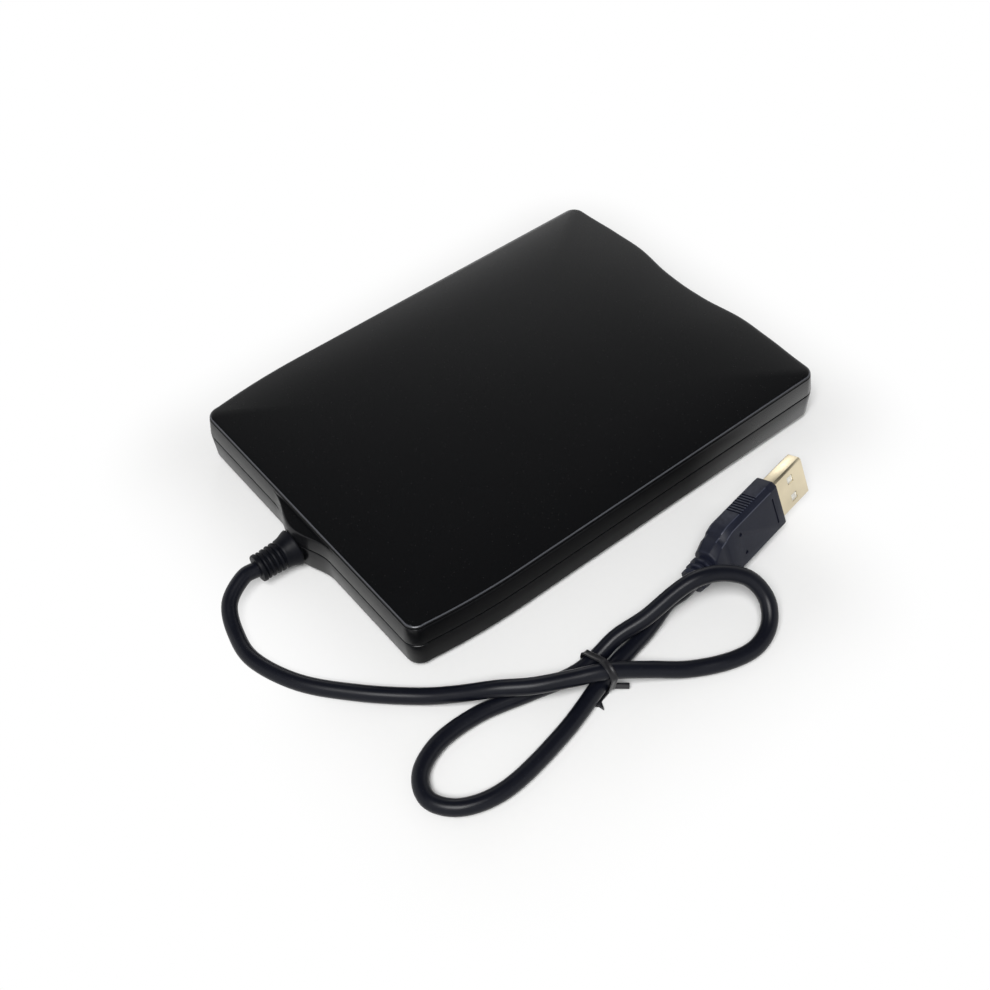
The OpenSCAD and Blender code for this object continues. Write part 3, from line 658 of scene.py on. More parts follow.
class DRIVE_OT_finishes(bpy.types.Operator):
    """Build the shader effects and every finish of the drive"""

    bl_idname = "drive.finishes"
    bl_label = "Finishes"

    def execute(self, context):
        case = context.scene.drive_case
        cord = context.scene.drive_cord
        build_grain_group()
        build_worn_and_highlit_group()
        build_dust_group()
        build_gloss_group()
        build_drawn_metal_group()
        build_track_group()

        lacquered_finish("case_black", case.colour, {"Top": 0.6, "Ends": 0.42, "Sides": 0.0})
        lacquered_finish("base_black", case.colour, {"Top": 0.4, "Ends": 0.46, "Sides": 0.05})
        # The rim's finish is lighter than the case: a painted highlight.
        moulded_finish("painted_rim_highlight", case.rim_highlight_colour, (2600.0, 0.1, 0.22, 0.3), IOR=1.45)
        moulded_finish("bezel_black", case.colour, (2600.0, 0.3, 0.38, 0.46), IOR=1.35)
        moulded_finish("flap_black", case.flap_colour, (1800.0, 0.06, 0.24, 0.32))
        moulded_finish("foot_black", (0.012, 0.012, 0.013), (1500.0, 0.5, 0.75, 0.9))
        moulded_finish("cord_black", cord.colour, (1400.0, 0.03, 0.3, 0.37), dust=0.03, IOR=1.28)
        # The relief's and the tie's convex edges are lightened: partly rubbed edges and partly a painted
        # highlight.
        moulded_finish("relief_black", (0.0025, 0.003, 0.005), (1500.0, 0.08, 0.4, 0.48), wear_and_highlight=0.15, IOR=1.2)
        moulded_finish("tie_black", (0.009, 0.009, 0.011), (1500.0, 0.06, 0.34, 0.42), wear_and_highlight=0.3, IOR=1.35)
        # The plug's convex edges get a bluish lighter colour: partly rubbed edges and partly a painted
        # highlight.
        moulded_finish(
            "plug_black", cord.plug_colour, (2200.0, 0.18, 0.42, 0.52), 0.5, (0.05, 0.055, 0.08), IOR=1.3
        )
        # Lighter finish for the plug's bevelled long edges: a painted highlight.
        moulded_finish("painted_plug_ridge_highlight", (0.028, 0.032, 0.052), (2200.0, 0.1, 0.34, 0.44))
        moulded_finish("white_moulding", (0.78, 0.77, 0.72), (1200.0, 0.08, 0.3, 0.45))
        moulded_finish("carriage_grey", (0.05, 0.052, 0.06), (1600.0, 0.3, 0.45, 0.6))
        moulded_finish("chip_black", (0.015, 0.015, 0.016), (2500.0, 0.25, 0.5, 0.62))
        moulded_finish("capacitor_brown", (0.20, 0.10, 0.04), (700.0, 0.06, 0.28, 0.4))
        moulded_finish("wire_red", (0.42, 0.03, 0.03), (900.0, 0.05, 0.3, 0.42))
        lens = {"Transmission Weight": 0.35, "IOR": 1.49}
        moulded_finish("lens_green", (0.16, 0.42, 0.14), (800.0, 0.03, 0.12, 0.2), **lens)

        metal_finish("shell_nickel", cord.shell_colour, (1500.0, 1500.0, 1500.0), 0.28, 0.38, 0.05)
        metal_finish("contact_gold", (0.84, 0.80, 0.70), (5000.0, 400.0, 5000.0), 0.18, 0.3, 0.1)
        metal_finish("sheet_zinc", (0.56, 0.58, 0.60), (250.0, 4200.0, 4200.0), 0.28, 0.45, 0.2)
        metal_finish("ground_steel", (0.66, 0.67, 0.69), (5200.0, 260.0, 5200.0), 0.14, 0.26, 0.08)
        metal_finish("bearing_bronze", (0.62, 0.42, 0.20), (2500.0, 2500.0, 2500.0), 0.3, 0.42, 0.3)
        board_finish("board_green")
        copper = {"Metallic": 0.85, "Roughness": 0.3}
        turns = {"Scale": 900.0, "Distortion": 1.2}
        ribbed_finish("coil_copper", (0.50, 0.20, 0.07), copper, turns, (0.6, 1.15), 0.6, wave_type="RINGS")
        conductors = {"Scale": 320.0}
        ribbed_finish("ribbon_pale", (0.70, 0.69, 0.65), {"Roughness": 0.35}, conductors, (0.72, 1.0), 0.5)
        cast_finish("magnet_dark", (0.045, 0.045, 0.05), 0.6, (0.09, 0.09, 0.095), 2200.0)
        cast_finish("head_ceramic", (0.55, 0.55, 0.52), 0.18, (0.42, 0.42, 0.40), 1500.0)
        return {"FINISHED"}


# ---------------------------------------------------------------- stage

# Where the camera stands, and which way its own axes point.
CAMERA_PLACE = (-0.2156, 0.15817, 0.27877)
CAMERA_RIGHT = (-0.6229, -0.7808, -0.0495)
CAMERA_UP = (0.5681, -0.4949, 0.6575)
CAMERA_BACK = (-0.5379, 0.3814, 0.7518)
FLOOR_HALF = 4.0
# The floor keeps its shadows on two patches, under the case and under the cord: middle and half size.
SHADOW_PATCHES = (
    ((0.0, 0.0, 0.0), (0.05, 0.068, 0.0)),
    ((-0.072, 0.03, 0.0), (0.02, 0.05, 0.0)),
)
SHADOW_FADE = 0.036


def soft_lamp(name, spot, target, size, power):
    """A square soft lamp that shines on the target."""
    lamp = bpy.data.lights.new(name, "AREA")
    lamp.shape = "RECTANGLE"
    lamp.size = lamp.size_y = size
    lamp.energy = power
    holder = bpy.data.objects.new(name, lamp)
    holder.location = spot
    holder.rotation_mode = "QUATERNION"
    holder.rotation_quaternion = (Vector(target) - Vector(spot)).to_track_quat("-Z", "Y")
    holder.visible_camera = False
    bpy.context.scene.collection.objects.link(holder)


def seen_directly(tree):
    """1 for rays that show the background itself: camera, mirror and see-through rays."""
    rays = add_node(tree, "LightPath").outputs
    either = maths(tree, "MAXIMUM", rays["Is Camera Ray"], rays["Is Glossy Ray"])
    return maths(tree, "MAXIMUM", either, rays["Is Transmission Ray"])


def studio_world(settings):
    """A room that is white near the horizon and dark overhead, with an even fill light."""
    world = bpy.data.worlds.new("studio_room")
    world.use_nodes = True
    tree = world.node_tree
    tree.nodes.clear()
    split = add_node(tree, "SeparateXYZ", {"Vector": add_node(tree, "TexCoord").outputs["Generated"]})
    fade = ramp(tree, split.outputs["Z"], 0.55, 0.70, 1.0, 0.05, interpolation_type="SMOOTHSTEP")
    even = add_node(tree, "Background", {"Color": WHITE, "Strength": settings.room_level})
    room = add_node(tree, "Background", {"Color": WHITE, "Strength": fade})
    sides = {1: even.outputs["Background"], 2: room.outputs["Background"]}
    mix = add_node(tree, "MixShader", {"Fac": seen_directly(tree), **sides})
    add_node(tree, "OutputWorld", {"Surface": mix.outputs["Shader"]})
    return world


def reach_outside(tree, middle, half):
    """Distance from a box on the floor, 0 inside it."""
    spot = surface_spot(tree)
    steps = (("SUBTRACT", middle), ("ABSOLUTE", ZERO), ("SUBTRACT", half), ("MAXIMUM", ZERO))
    for operation, other in steps:
        spot = vector_maths(tree, operation, spot, other)["Vector"]
    return vector_maths(tree, "LENGTH", spot)["Value"]


def floor_finish(settings):
    """Pale floor that keeps the object's shadow and fades to plain white further out."""
    shader = new_finish("pale_floor", {"Roughness": 0.85, "Specular IOR Level": 0.2})
    tree = shader.id_data
    grain = use_effect(tree, "moulded_grain", {"Scale": 500.0, "Depth": 0.02, "Low": 0.8, "High": 0.9})
    tinted(shader, settings.floor_colour, ramp(tree, grain["Tint"], 0.8, 1.2, 0.99, 1.0))
    near = maths(tree, "MINIMUM", *(reach_outside(tree, *patch) for patch in SHADOW_PATCHES))
    fade = ramp(tree, near, 0.0, SHADOW_FADE, interpolation_type="SMOOTHSTEP")
    glow = add_node(tree, "Emission", {"Color": WHITE, "Strength": 1.0})
    sides = {1: shader.outputs["BSDF"], 2: glow.outputs["Emission"]}
    mix = add_node(tree, "MixShader", {"Fac": maths(tree, "MULTIPLY", fade, seen_directly(tree)), **sides})
    feed(tree.nodes["Material Output"], {"Surface": mix.outputs["Shader"]})
    return bpy.data.materials["pale_floor"]


class DRIVE_OT_stage(bpy.types.Operator):
    """Set up the camera, the pale floor, the room and the soft lamps"""

    bl_idname = "drive.stage"
    bl_label = "Stage"

    def execute(self, context):
        scene = context.scene
        settings = scene.drive_stage
        lens = bpy.data.cameras.new("camera")
        lens.lens = settings.lens
        lens.sensor_width = 36.0
        lens.clip_start = 0.01
        camera = bpy.data.objects.new("camera", lens)
        columns = (CAMERA_RIGHT, CAMERA_UP, CAMERA_BACK, CAMERA_PLACE)
        camera.matrix_world = Matrix([[c[i] for c in columns] for i in range(3)] + [[0, 0, 0, 1]])
        scene.collection.objects.link(camera)
        scene.camera = camera
        scene.view_settings.view_transform = "Standard"

        corners = [(x * FLOOR_HALF, y * FLOOR_HALF, 0) for x, y in ((-1, -1), (1, -1), (1, 1), (-1, 1))]
        floor = new_piece("floor", corners, [(0, 1, 2, 3)])
        floor.data.materials.append(floor_finish(settings))

        scene.world = studio_world(settings)
        soft_lamp("key_lamp", (-0.45, 0.5, 1.0), (0.0, 0.0, 0.0), 0.5, settings.key_power)
        soft_lamp("sheen_lamp", (0.826, -0.524, 0.415), (-0.07, -0.04, 0.0), 0.24, settings.sheen_power)
        return {"FINISHED"}


# ---------------------------------------------------------------- cord set

CORD_ROUTE = (
    (0, 85.4, 6.5), (0, 90.0, 6.5), (-3.5, 96.5, 4.6), (-11, 99.7, 2.5), (-21, 100.5, 2.3),
    (-34, 95.5, 2.3), (-46, 86, 2.3), (-56.5, 75.5, 2.6), (-63, 68.5, 4.2), (-69.5, 61, 6.7),
    (-75, 54, 7.4), (-79.5, 45.5, 7.5), (-83.5, 37.5, 7.5), (-88.5, 28.5, 5), (-93.5, 20, 2.6),
    (-98, 11, 2.4), (-99.5, 3, 2.5), (-97.5, -3.5, 3.8), (-93, -7, 7), (-87.5, -6, 10.8),
    (-83, -1, 12.9), (-80.3, 5, 13.2), (-79, 11, 11.6), (-78.2, 20.5, 8.3), (-76.6, 28.5, 5.9),
    (-76.6, 36, 3.2), (-76.1, 43.5, 2.4), (-73, 55, 2.3), (-70, 67, 2.3), (-70, 79, 2.3),
    (-74, 87.5, 2.3), (-81, 90, 2.3), (-87.5, 84.5, 2.3), (-90, 73, 2.3), (-87, 54, 2.3),
    (-81.8, 36, 2.9), (-78.8, 21, 3), (-77.3, 12.5, 6),
)  # fmt: skip
PLUG_SPOT = Vector((-72.2, -30, 9.3))
PLUG_TURNS = (("Z", -81.5 - 90), ("X", 3), ("Y", 70))
BOOT_LENGTH = 34.0
BOSS_FACE = 74.25
EXIT_HEIGHT = 6.5


def plug_turn():
    """Rotation of the plug's own axes: X across its width, Y out of its mouth."""
    turn = Matrix.Identity(3)
    for axis, degrees in PLUG_TURNS:
        turn = turn @ Matrix.Rotation(math.radians(degrees), 3, axis)
    return turn


def plug_point(x, y, z):
    """A point of the plug's own drawing, in millimetres, in the frame."""
    spot = PLUG_SPOT + plug_turn() @ Vector((x, y, z))
    return place(*spot)


def cord_points():
    """The cord's route in the frame, from the strain relief to the plug's boot."""
    points = [place(*p) for p in CORD_ROUTE]
    points += [plug_point(0, -BOOT_LENGTH - 4, 0), plug_point(0, -BOOT_LENGTH, 0)]
    return points


class DRIVE_OT_cord(bpy.types.Operator):
    """Build the cord as one curve along its route"""

    bl_idname = "drive.cord"
    bl_label = "Cord"

    def execute(self, context):
        settings = context.scene.drive_cord
        points = cord_points()
        curve = bpy.data.curves.new("cord_line", "CURVE")
        curve.dimensions = "3D"
        curve.bevel_depth = settings.diameter / 2
        curve.bevel_resolution = 10
        curve.resolution_u = 8
        curve.use_fill_caps = True
        spline = curve.splines.new("BEZIER")
        spline.bezier_points.add(len(points) - 1)
        last = len(points) - 1
        for i, (knot, point) in enumerate(zip(spline.bezier_points, points)):
            before = points[i - 1] if i else 2 * points[0] - points[1]
            after = points[i + 1] if i < last else 2 * points[last] - points[last - 1]
            pull = (after - before) / 6
            knot.handle_left_type = knot.handle_right_type = "FREE"
            knot.co = point
            knot.handle_left = point - pull
            knot.handle_right = point + pull
        line = bpy.data.objects.new("cord_line", curve)
        context.scene.collection.objects.link(line)
        clothe(line, "case", "cord_black", ["cord"])
        return {"FINISHED"}


RELIEF_PROFILE = (
    (-2.9, 3.4), (-2.9, 3.93), (-0.05, 3.93), (0.0, 5.05), (0.08, 5.16), (0.35, 5.18), (0.8, 5.04),
    (1.4, 4.78), (2.1, 4.5), (2.8, 4.3), (3.4, 4.2), (3.8, 4.14), (3.98, 4.02), (4.08, 3.78),
    (4.2, 3.66), (4.42, 3.65), (4.54, 3.76), (4.64, 3.98), (4.82, 4.08), (5.1, 4.1), (5.36, 4.05),
    (5.52, 3.94), (5.61, 3.7), (5.72, 3.58), (5.9, 3.57), (6.02, 3.68), (6.11, 3.9), (6.28, 3.99),
    (6.55, 4.01), (6.82, 3.96), (6.97, 3.84), (7.06, 3.62), (7.17, 3.5), (7.35, 3.49), (7.47, 3.6),
    (7.56, 3.82), (7.73, 3.91), (8.0, 3.93), (8.26, 3.88), (8.41, 3.77), (8.5, 3.54), (8.61, 3.43),
    (8.79, 3.42), (8.91, 3.53), (9.0, 3.74), (9.16, 3.83), (9.38, 3.84), (9.58, 3.8), (9.7, 3.7),
    (9.78, 3.5), (9.88, 3.4), (10.0, 3.42), (10.08, 3.6), (10.14, 3.85), (10.28, 3.94), (10.7, 3.92),
    (11.1, 3.86), (11.25, 3.74), (11.3, 3.5), (11.3, 2.2),
)  # fmt: skip


class DRIVE_OT_strain_relief(bpy.types.Operator):
    """Build the ribbed strain relief where the cord leaves the boss"""

    bl_idname = "drive.strain_relief"
    bl_label = "Strain Relief"

    def execute(self, context):
        origin = place(0, BOSS_FACE, EXIT_HEIGHT)
        relief = lathe("cord_relief", RELIEF_PROFILE, origin, 56)
        clothe(relief, "case", "relief_black", ["strain_relief"])
        return {"FINISHED"}


# ---------------------------------------------------------------- case

FRONT_SHAPE = (
    (0, 1), (5, 0.93), (10, 0.76), (14, 0.48), (17.5, 0.22), (21, 0.04), (25, 0),
    (30, 0.09), (35, 0.17), (40, 0.33), (45, 0.46), (60, 0.6),
)  # fmt: skip
FRONT_EDGE = -70.5
REAR_WALL = 71.0
WALL = 2.0
PLATE = 1.6
CASE_SHARP = 32.0

# Rows of the covers: height above the seam, the top face or the underside, inset, and share of the boss.
TOP_SEAM_ROWS = (
    (0, 0.9, 1), (0.2, 0.86, 1), (0.22, 0.3, 1), (0.26, 0.12, 1), (0.34, 0.03, 1), (0.46, 0.0, 1),
)  # fmt: skip
TOP_EDGE_ROWS = (
    (-2.75, 0.52, 1), (-2.55, 0.54, 0.965), (-2.43, 0.55, 0.9), (-2.37, 0.56, 0.8), (-2.33, 0.565, 0.5),
    (-2.3, 0.57, 0), (-1.42, 0.73, 0), (-1.36, 0.8, 0), (-1.33, 1.0, 0), (-1.0, 1.03, 0),
    (-0.97, 0.86, 0), (-0.92, 0.82, 0), (-0.78, 0.88, 0), (-0.66, 0.98, 0), (-0.56, 1.12, 0),
    (-0.49, 1.3, 0), (-0.44, 1.54, 0), (-0.41, 1.85, 0), (-0.38, 2.4, 0),
)  # fmt: skip
TOP_INNER_ROWS = (
    (-3.8, WALL + 0.5, 1), (-3.7, WALL + 0.55, 0), (-PLATE, WALL + 0.85, 0), (-PLATE, WALL + 1.6, 0),
)  # fmt: skip
BASE_SEAM_ROWS = (
    (0, 0.9, 1), (-0.2, 0.86, 1), (-0.22, 0.34, 1), (-0.27, 0.16, 1), (-0.38, 0.04, 1), (-0.55, 0.0, 1),
)  # fmt: skip
BASE_MIDDLE_ROW = (6.0, 0.16, 1)
BASE_EDGE_ROWS = (
    (1.3, 0.31, 1), (0.85, 0.40, 1), (0.5, 0.56, 1), (0.26, 0.78, 1), (0.1, 1.08, 1), (0.02, 1.42, 1),
    (0, 1.8, 1), (0, 2.3, 1),
)  # fmt: skip
# Rows of the top face: share of the edge row's size, and height above the top face.
CROWN_ROWS = (
    (0.97, -0.30), (0.93, -0.215), (0.88, -0.135), (0.82, -0.07), (0.75, -0.025), (0.67, -0.005), (0.58, 0),
)  # fmt: skip
# Recesses for the feet and holes for the screws under the case: x, y, radius and depth.
BASE_HOLES = ((42, -56, 4.6, 0.3), (40, 52, 4.6, 0.3), (42, 64, 2.5, 1.0), (42, 64, 1.4, 3))
OPENING_HALF = 47.5
OPENING_END = -63.6
EXIT_RADIUS = 4.0
# The band round the top face's rounded edge that carries a painted highlight: how far below the top it starts
# and ends, and how much it tilts up.
RIM_HIGHLIGHT_TOP = (0.7, 0.42)
RIM_HIGHLIGHT_TILT = (0.3, 0.97)
# Where the outline has its points: across the front, along the sides and across the rear, in millimetres,
# and round the corners, in degrees.
FRONT_STATIONS = range(0, 46, 2)
STRAIGHT_STATIONS = (-55, -40, -20, 0, 20, 38)
NARROWING_STATIONS = range(42, 67, 4)
REAR_STATIONS = (40, 32, 25, 20, 16, *(0.5 * k for k in range(28, -1, -1)))
FRONT_CORNER = [7.5 * step for step in range(13)]
REAR_CORNER = [10 + 80 * step / 11 for step in range(12)]
NARROWING_START = 38
NARROWING_LENGTH = 28


def half_plan(case, inset, boss):
    """Right half of the case's outline in plan, from the middle of the front to the middle of the rear."""
    half = mm(case.width) / 2
    radius = mm(case.corner_radius)
    scoop = mm(case.front_scoop)
    narrowing = mm(case.rear_narrowing)
    reach = mm(case.boss_reach) * boss
    foot = mm(case.boss_half_width)
    turn = radius - inset
    line = [(x, FRONT_EDGE + scoop * along(FRONT_SHAPE, x) + inset) for x in FRONT_STATIONS]
    centre = (half - radius, FRONT_EDGE + scoop * 0.5 + radius)
    for a in map(math.radians, FRONT_CORNER):
        line.append((centre[0] + turn * math.sin(a), centre[1] - turn * math.cos(a)))
    line += [(half - inset, y) for y in STRAIGHT_STATIONS]
    for y in NARROWING_STATIONS:
        line.append((half - inset - narrowing * ((y - NARROWING_START) / NARROWING_LENGTH) ** 2, y))
    centre = (half - narrowing - radius, REAR_WALL - radius)
    for a in map(math.radians, REAR_CORNER):
        line.append((centre[0] + turn * math.cos(a), centre[1] + turn * math.sin(a)))
    for x in REAR_STATIONS:
        bell = (1 + math.cos(math.pi * x / foot)) / 2 if x < foot else 0.0
        line.append((x, REAR_WALL - inset + reach * bell))
    return line


def case_ring(case, height, inset, boss):
    """The whole outline at one height, as points of the frame."""
    right = half_plan(case, inset, boss)
    left = [(-x, y) for x, y in right[-2:0:-1]]
    return [place(x, y, height) for x, y in right + left]


def rows_from(base, rows):
    """Rows with their heights counted from the base."""
    return [(base + height, inset, boss) for height, inset, boss in rows]


def case_shell(name, case, outer, inner, crown=()):
    """One closed cover: outer rows from the seam outwards, inner rows from the seam inwards.

    The crown's rows shrink the last outer row towards the middle: (share of its size, height).
    """
    rings = [case_ring(case, *row) for row in reversed(outer)]
    edge = rings[0]
    for share, height in crown:
        rings.insert(0, [Vector((p.x * share, p.y * share, height * MM)) for p in edge])
    rings += [case_ring(case, *row) for row in inner]
    return loft(name, rings, CASE_SHARP)


def front_opening(low, high):
    """A cutter for the bezel's opening, between two heights."""
    return box_solid(place(-OPENING_HALF, -90, low), place(OPENING_HALF, OPENING_END, high))


def exit_hole():
    """A cutter for the strain relief's hole."""
    return rod_solid(place(0, 60, EXIT_HEIGHT), place(0, 90, EXIT_HEIGHT), EXIT_RADIUS * MM, 48)


class DRIVE_OT_top_cover(bpy.types.Operator):
    """Build the top cover with its rim, boss and front opening"""

    bl_idname = "drive.top_cover"
    bl_label = "Top Cover"

    def execute(self, context):
        case = context.scene.drive_case
        top, seam = mm(case.height), mm(case.seam_height)
        outer = rows_from(seam, TOP_SEAM_ROWS) + rows_from(top, TOP_EDGE_ROWS)
        inner = [(seam, WALL, 1), *rows_from(top, TOP_INNER_ROWS)]
        crown = [(share, top + height) for share, height in CROWN_ROWS]
        cover = case_shell("case_top", case, outer, inner, crown)
        carve(cover, [front_opening(seam - 1, top - PLATE), exit_hole()], CASE_SHARP)
        clothe(cover, "case", "case_black", ["top_cover"])
        # The top face's rounded rim gets the lighter finish: a painted highlight.
        second_finish(cover, "painted_rim_highlight", edge_band(top - RIM_HIGHLIGHT_TOP[0], top - RIM_HIGHLIGHT_TOP[1], *RIM_HIGHLIGHT_TILT))
        return {"FINISHED"}


class DRIVE_OT_bottom_cover(bpy.types.Operator):
    """Build the bottom cover with its foot and screw recesses"""

    bl_idname = "drive.bottom_cover"
    bl_label = "Bottom Cover"

    def execute(self, context):
        case = context.scene.drive_case
        low, seam = mm(case.foot_height), mm(case.seam_height)
        outer = [*rows_from(seam, BASE_SEAM_ROWS), BASE_MIDDLE_ROW, *rows_from(low, BASE_EDGE_ROWS)]
        inner = [(seam, WALL, 1), (low + PLATE, WALL + 0.32, 1), (low + PLATE, WALL + 1.0, 1)]
        cover = case_shell("case_bottom", case, outer, inner)
        cutters = [front_opening(low + PLATE + 0.8, seam + 1), exit_hole()]
        for side in (-1, 1):
            for x, y, radius, depth in BASE_HOLES:
                start, end = place(side * x, y, low - 1), place(side * x, y, low + depth)
                cutters.append(rod_solid(start, end, radius * MM))
        carve(cover, cutters, CASE_SHARP)
        clothe(cover, "case", "base_black", ["bottom_cover"])
        return {"FINISHED"}


# ---------------------------------------------------------------- plug and tie


def rounded_section(half_wide, half_thick, chamfer, radius):
    """Outline of a bar with bevelled, slightly rounded edges: X across, Z through."""
    slant = chamfer + radius * (math.sqrt(2) - 1)
    wide, thick = half_wide - radius, half_thick - radius
    corners = (
        (wide, thick - slant, 0), (wide - slant, thick, 45), (slant - wide, thick, 90),
        (-wide, thick - slant, 135), (-wide, slant - thick, 180), (slant - wide, -thick, 225),
        (wide - slant, -thick, 270), (wide, slant - thick, 315),
    )  # fmt: skip
    outline = []
    for x, z, start in corners:
        for step in range(3):
            a = math.radians(start + 22.5 * step)
            outline.append((x + radius * math.cos(a), z + radius * math.sin(a)))
    return outline


def plug_ring(y, half_wide, half_thick, chamfer, radius):
    """One ring of the plug, in the frame."""
    return [plug_point(x, y, z) for x, z in rounded_section(half_wide, half_thick, chamfer, radius)]


PLUG_ROWS = (
    (0.0, 6.75, 2.95, 0.5, 0.3), (-0.12, 7.1, 3.25, 0.7, 0.35), (-0.4, 7.38, 3.5, 0.85, 0.4),
    (-0.8, 7.5, 3.6, 0.95, 0.4), (-3.0, 7.5, 3.6, 0.95, 0.4), (-19.2, 7.5, 3.6, 0.95, 0.4),
    (-19.9, 7.38, 3.6, 0.98, 0.4), (-21.9, 6.86, 3.58, 1.05, 0.45), (-22.3, 6.55, 3.5, 1.0, 0.5),
    (-22.7, 6.3, 3.42, 1.0, 0.5), (-23.9, 6.05, 3.42, 1.0, 0.5), (-24.3, 6.05, 3.52, 1.05, 0.5),
    (-26.6, 4.95, 3.56, 1.25, 0.6), (-27.0, 4.8, 3.58, 1.3, 0.6), (-27.35, 4.72, 3.54, 1.3, 0.6),
    (-27.6, 4.4, 3.4, 1.25, 0.6), (-27.8, 3.6, 3.2, 1.1, 0.6), (-28.1, 3.15, 3.05, 1.0, 0.8),
    (-28.8, 3.15, 3.05, 1.0, 0.8), (-29.0, 3.45, 3.4, 1.1, 0.9), (-29.2, 3.85, 3.6, 1.1, 0.9),
    (-29.7, 3.85, 3.6, 1.1, 0.9), (-29.9, 3.5, 3.35, 1.1, 0.9), (-30.05, 3.1, 3.0, 1.0, 0.9),
    (-30.75, 3.05, 2.95, 1.0, 0.9), (-30.9, 3.4, 3.3, 1.1, 0.9), (-31.1, 3.68, 3.58, 1.1, 0.9),
    (-31.6, 3.65, 3.55, 1.1, 0.9), (-31.8, 3.35, 3.3, 1.1, 0.9), (-31.95, 2.95, 2.9, 1.0, 0.9),
    (-32.55, 2.95, 2.9, 1.0, 0.9), (-32.7, 3.3, 3.25, 1.1, 0.9), (-32.9, 3.5, 3.45, 1.1, 0.9),
    (-33.7, 3.42, 3.42, 1.1, 0.9), (-33.95, 3.2, 3.2, 1.1, 0.9), (-34.0, 2.9, 2.9, 1.0, 0.9),
)  # fmt: skip
SHELL_ROWS = (
    (-4.0, 5.95, 2.2), (-3.9, 6.0, 2.25), (11.8, 6.0, 2.25), (11.93, 5.97, 2.22), (12.0, 5.88, 2.13),
    (12.0, 5.8, 2.05), (11.93, 5.72, 1.97), (11.8, 5.7, 1.95), (-4.0, 5.7, 1.95),
)  # fmt: skip
# Chamfer and radius of the shell's corners.
SHELL_CORNER = (0.18, 0.35)
# The shell's two windows, with a pad behind each: their middles and half widths across the shell, and
# where the windows start and end along it.
SHELL_WINDOWS = (-2.9, 2.9)
WINDOW_HALF = 1.15
PAD_HALF = 1.5
WINDOW_SPAN = (5.1, 7.4)
# The corners of the cutter that makes the seam along the shell's underside.
FOLD_SEAM = ((-0.09, 3.9, -2.4), (0.09, 12.5, -1.9))
PAD_PROFILE = (
    (4.7, 1.93), (4.95, 1.93), (5.1, 1.72), (7.4, 1.72), (7.55, 1.93), (7.8, 1.93), (7.6, 1.4), (4.9, 1.4),
)  # fmt: skip
PLUG_SHARP = 40.0
GRIP_GROOVES = 8
GRIP_START = -7.3
GRIP_STEP = 0.92
# Where the cutters of the grips, and of the line across both faces, start and end from the middle.
GRIP_CUT = (7.14, 8.0)
LINE_CUT = (3.28, 4.2)
FACE_HOLES = ((-3.2, -17.1), (3.1, -16.7))
FACE_HOLE_RADIUS = 0.55
# The bevelled long edges of the body, which get a lighter finish as a painted highlight: their faces lie
# within a reach of this point, and they are turned away from the flat faces by between two angles, in
# degrees.
RIDGE_MIDDLE = (0, -13, 0)
RIDGE_REACH = 13
RIDGE_TURN = (7, 38)


def either_side(near, far):
    """The spans between two distances, to the one side of the middle and to the other."""
    return ((-far, -near), (near, far))


class DRIVE_OT_plug(bpy.types.Operator):
    """Build the moulded plug body with its grips, recess and boot, and the plated shell with its pads"""

    bl_idname = "drive.plug"
    bl_label = "Plug"

    def execute(self, context):
        body = loft("plug_body", [plug_ring(*row) for row in PLUG_ROWS], PLUG_SHARP)
        turn = plug_turn()
        holder = Matrix.Translation(plug_point(0, 0, 0)) @ turn.to_4x4()

        def cut_box(low, high):
            """A box between two corners of the plug's own drawing."""
            return box_solid([v * MM for v in low], [v * MM for v in high], holder)

        cutters = []
        for groove in range(GRIP_GROOVES):
            y = GRIP_START - GRIP_STEP * groove
            for low, high in either_side(*GRIP_CUT):
                cutters.append(cut_box((low, y - GRIP_STEP / 2, -2.3), (high, y, 2.45)))
        for low, high in either_side(*LINE_CUT):
            cutters.append(cut_box((-4.0, -3.35, low), (4.2, -2.85, high)))
        for x, y in FACE_HOLES:
            start, end = plug_point(x, y, 3.2), plug_point(x, y, 4.5)
            cutters.append(rod_solid(start, end, FACE_HOLE_RADIUS * MM, 24))
        carve(body, cutters, PLUG_SHARP)
        clothe(body, "case", "plug_black", ["usb_plug_body"])

        def on_ridge(face):
            """Whether a face lies on the bevelled long edges, between the flat sides, which get a painted
            highlight.
            """
            local = turn.transposed() @ face.normal
            if abs(local.y) > 0.5 or (face.center - plug_point(*RIDGE_MIDDLE)).length > RIDGE_REACH * MM:
                return False
            return RIDGE_TURN[0] < math.degrees(math.atan2(local.z, local.x)) % 45 < RIDGE_TURN[1]

        # The bevelled long edges get the lighter finish: a painted highlight.
        second_finish(body, "painted_plug_ridge_highlight", on_ridge)

        rings = [plug_ring(*row, *SHELL_CORNER) for row in SHELL_ROWS]
        shell = loft("plug_shell", rings, PLUG_SHARP, True)
        low, high = WINDOW_SPAN
        holes = [cut_box((x - WINDOW_HALF, low, -3.0), (x + WINDOW_HALF, high, 3.0)) for x in SHELL_WINDOWS]
        carve(shell, [*holes, cut_box(*FOLD_SEAM)], PLUG_SHARP)
        clothe(shell, "case", "shell_nickel", ["usb_plug_shell"])

        spans = [(x - PAD_HALF, x + PAD_HALF) for x in SHELL_WINDOWS]
        pads = prisms("plug_pads", PAD_PROFILE, spans, plug_point)
        clothe(pads, "case", "white_moulding")
        return {"FINISHED"}


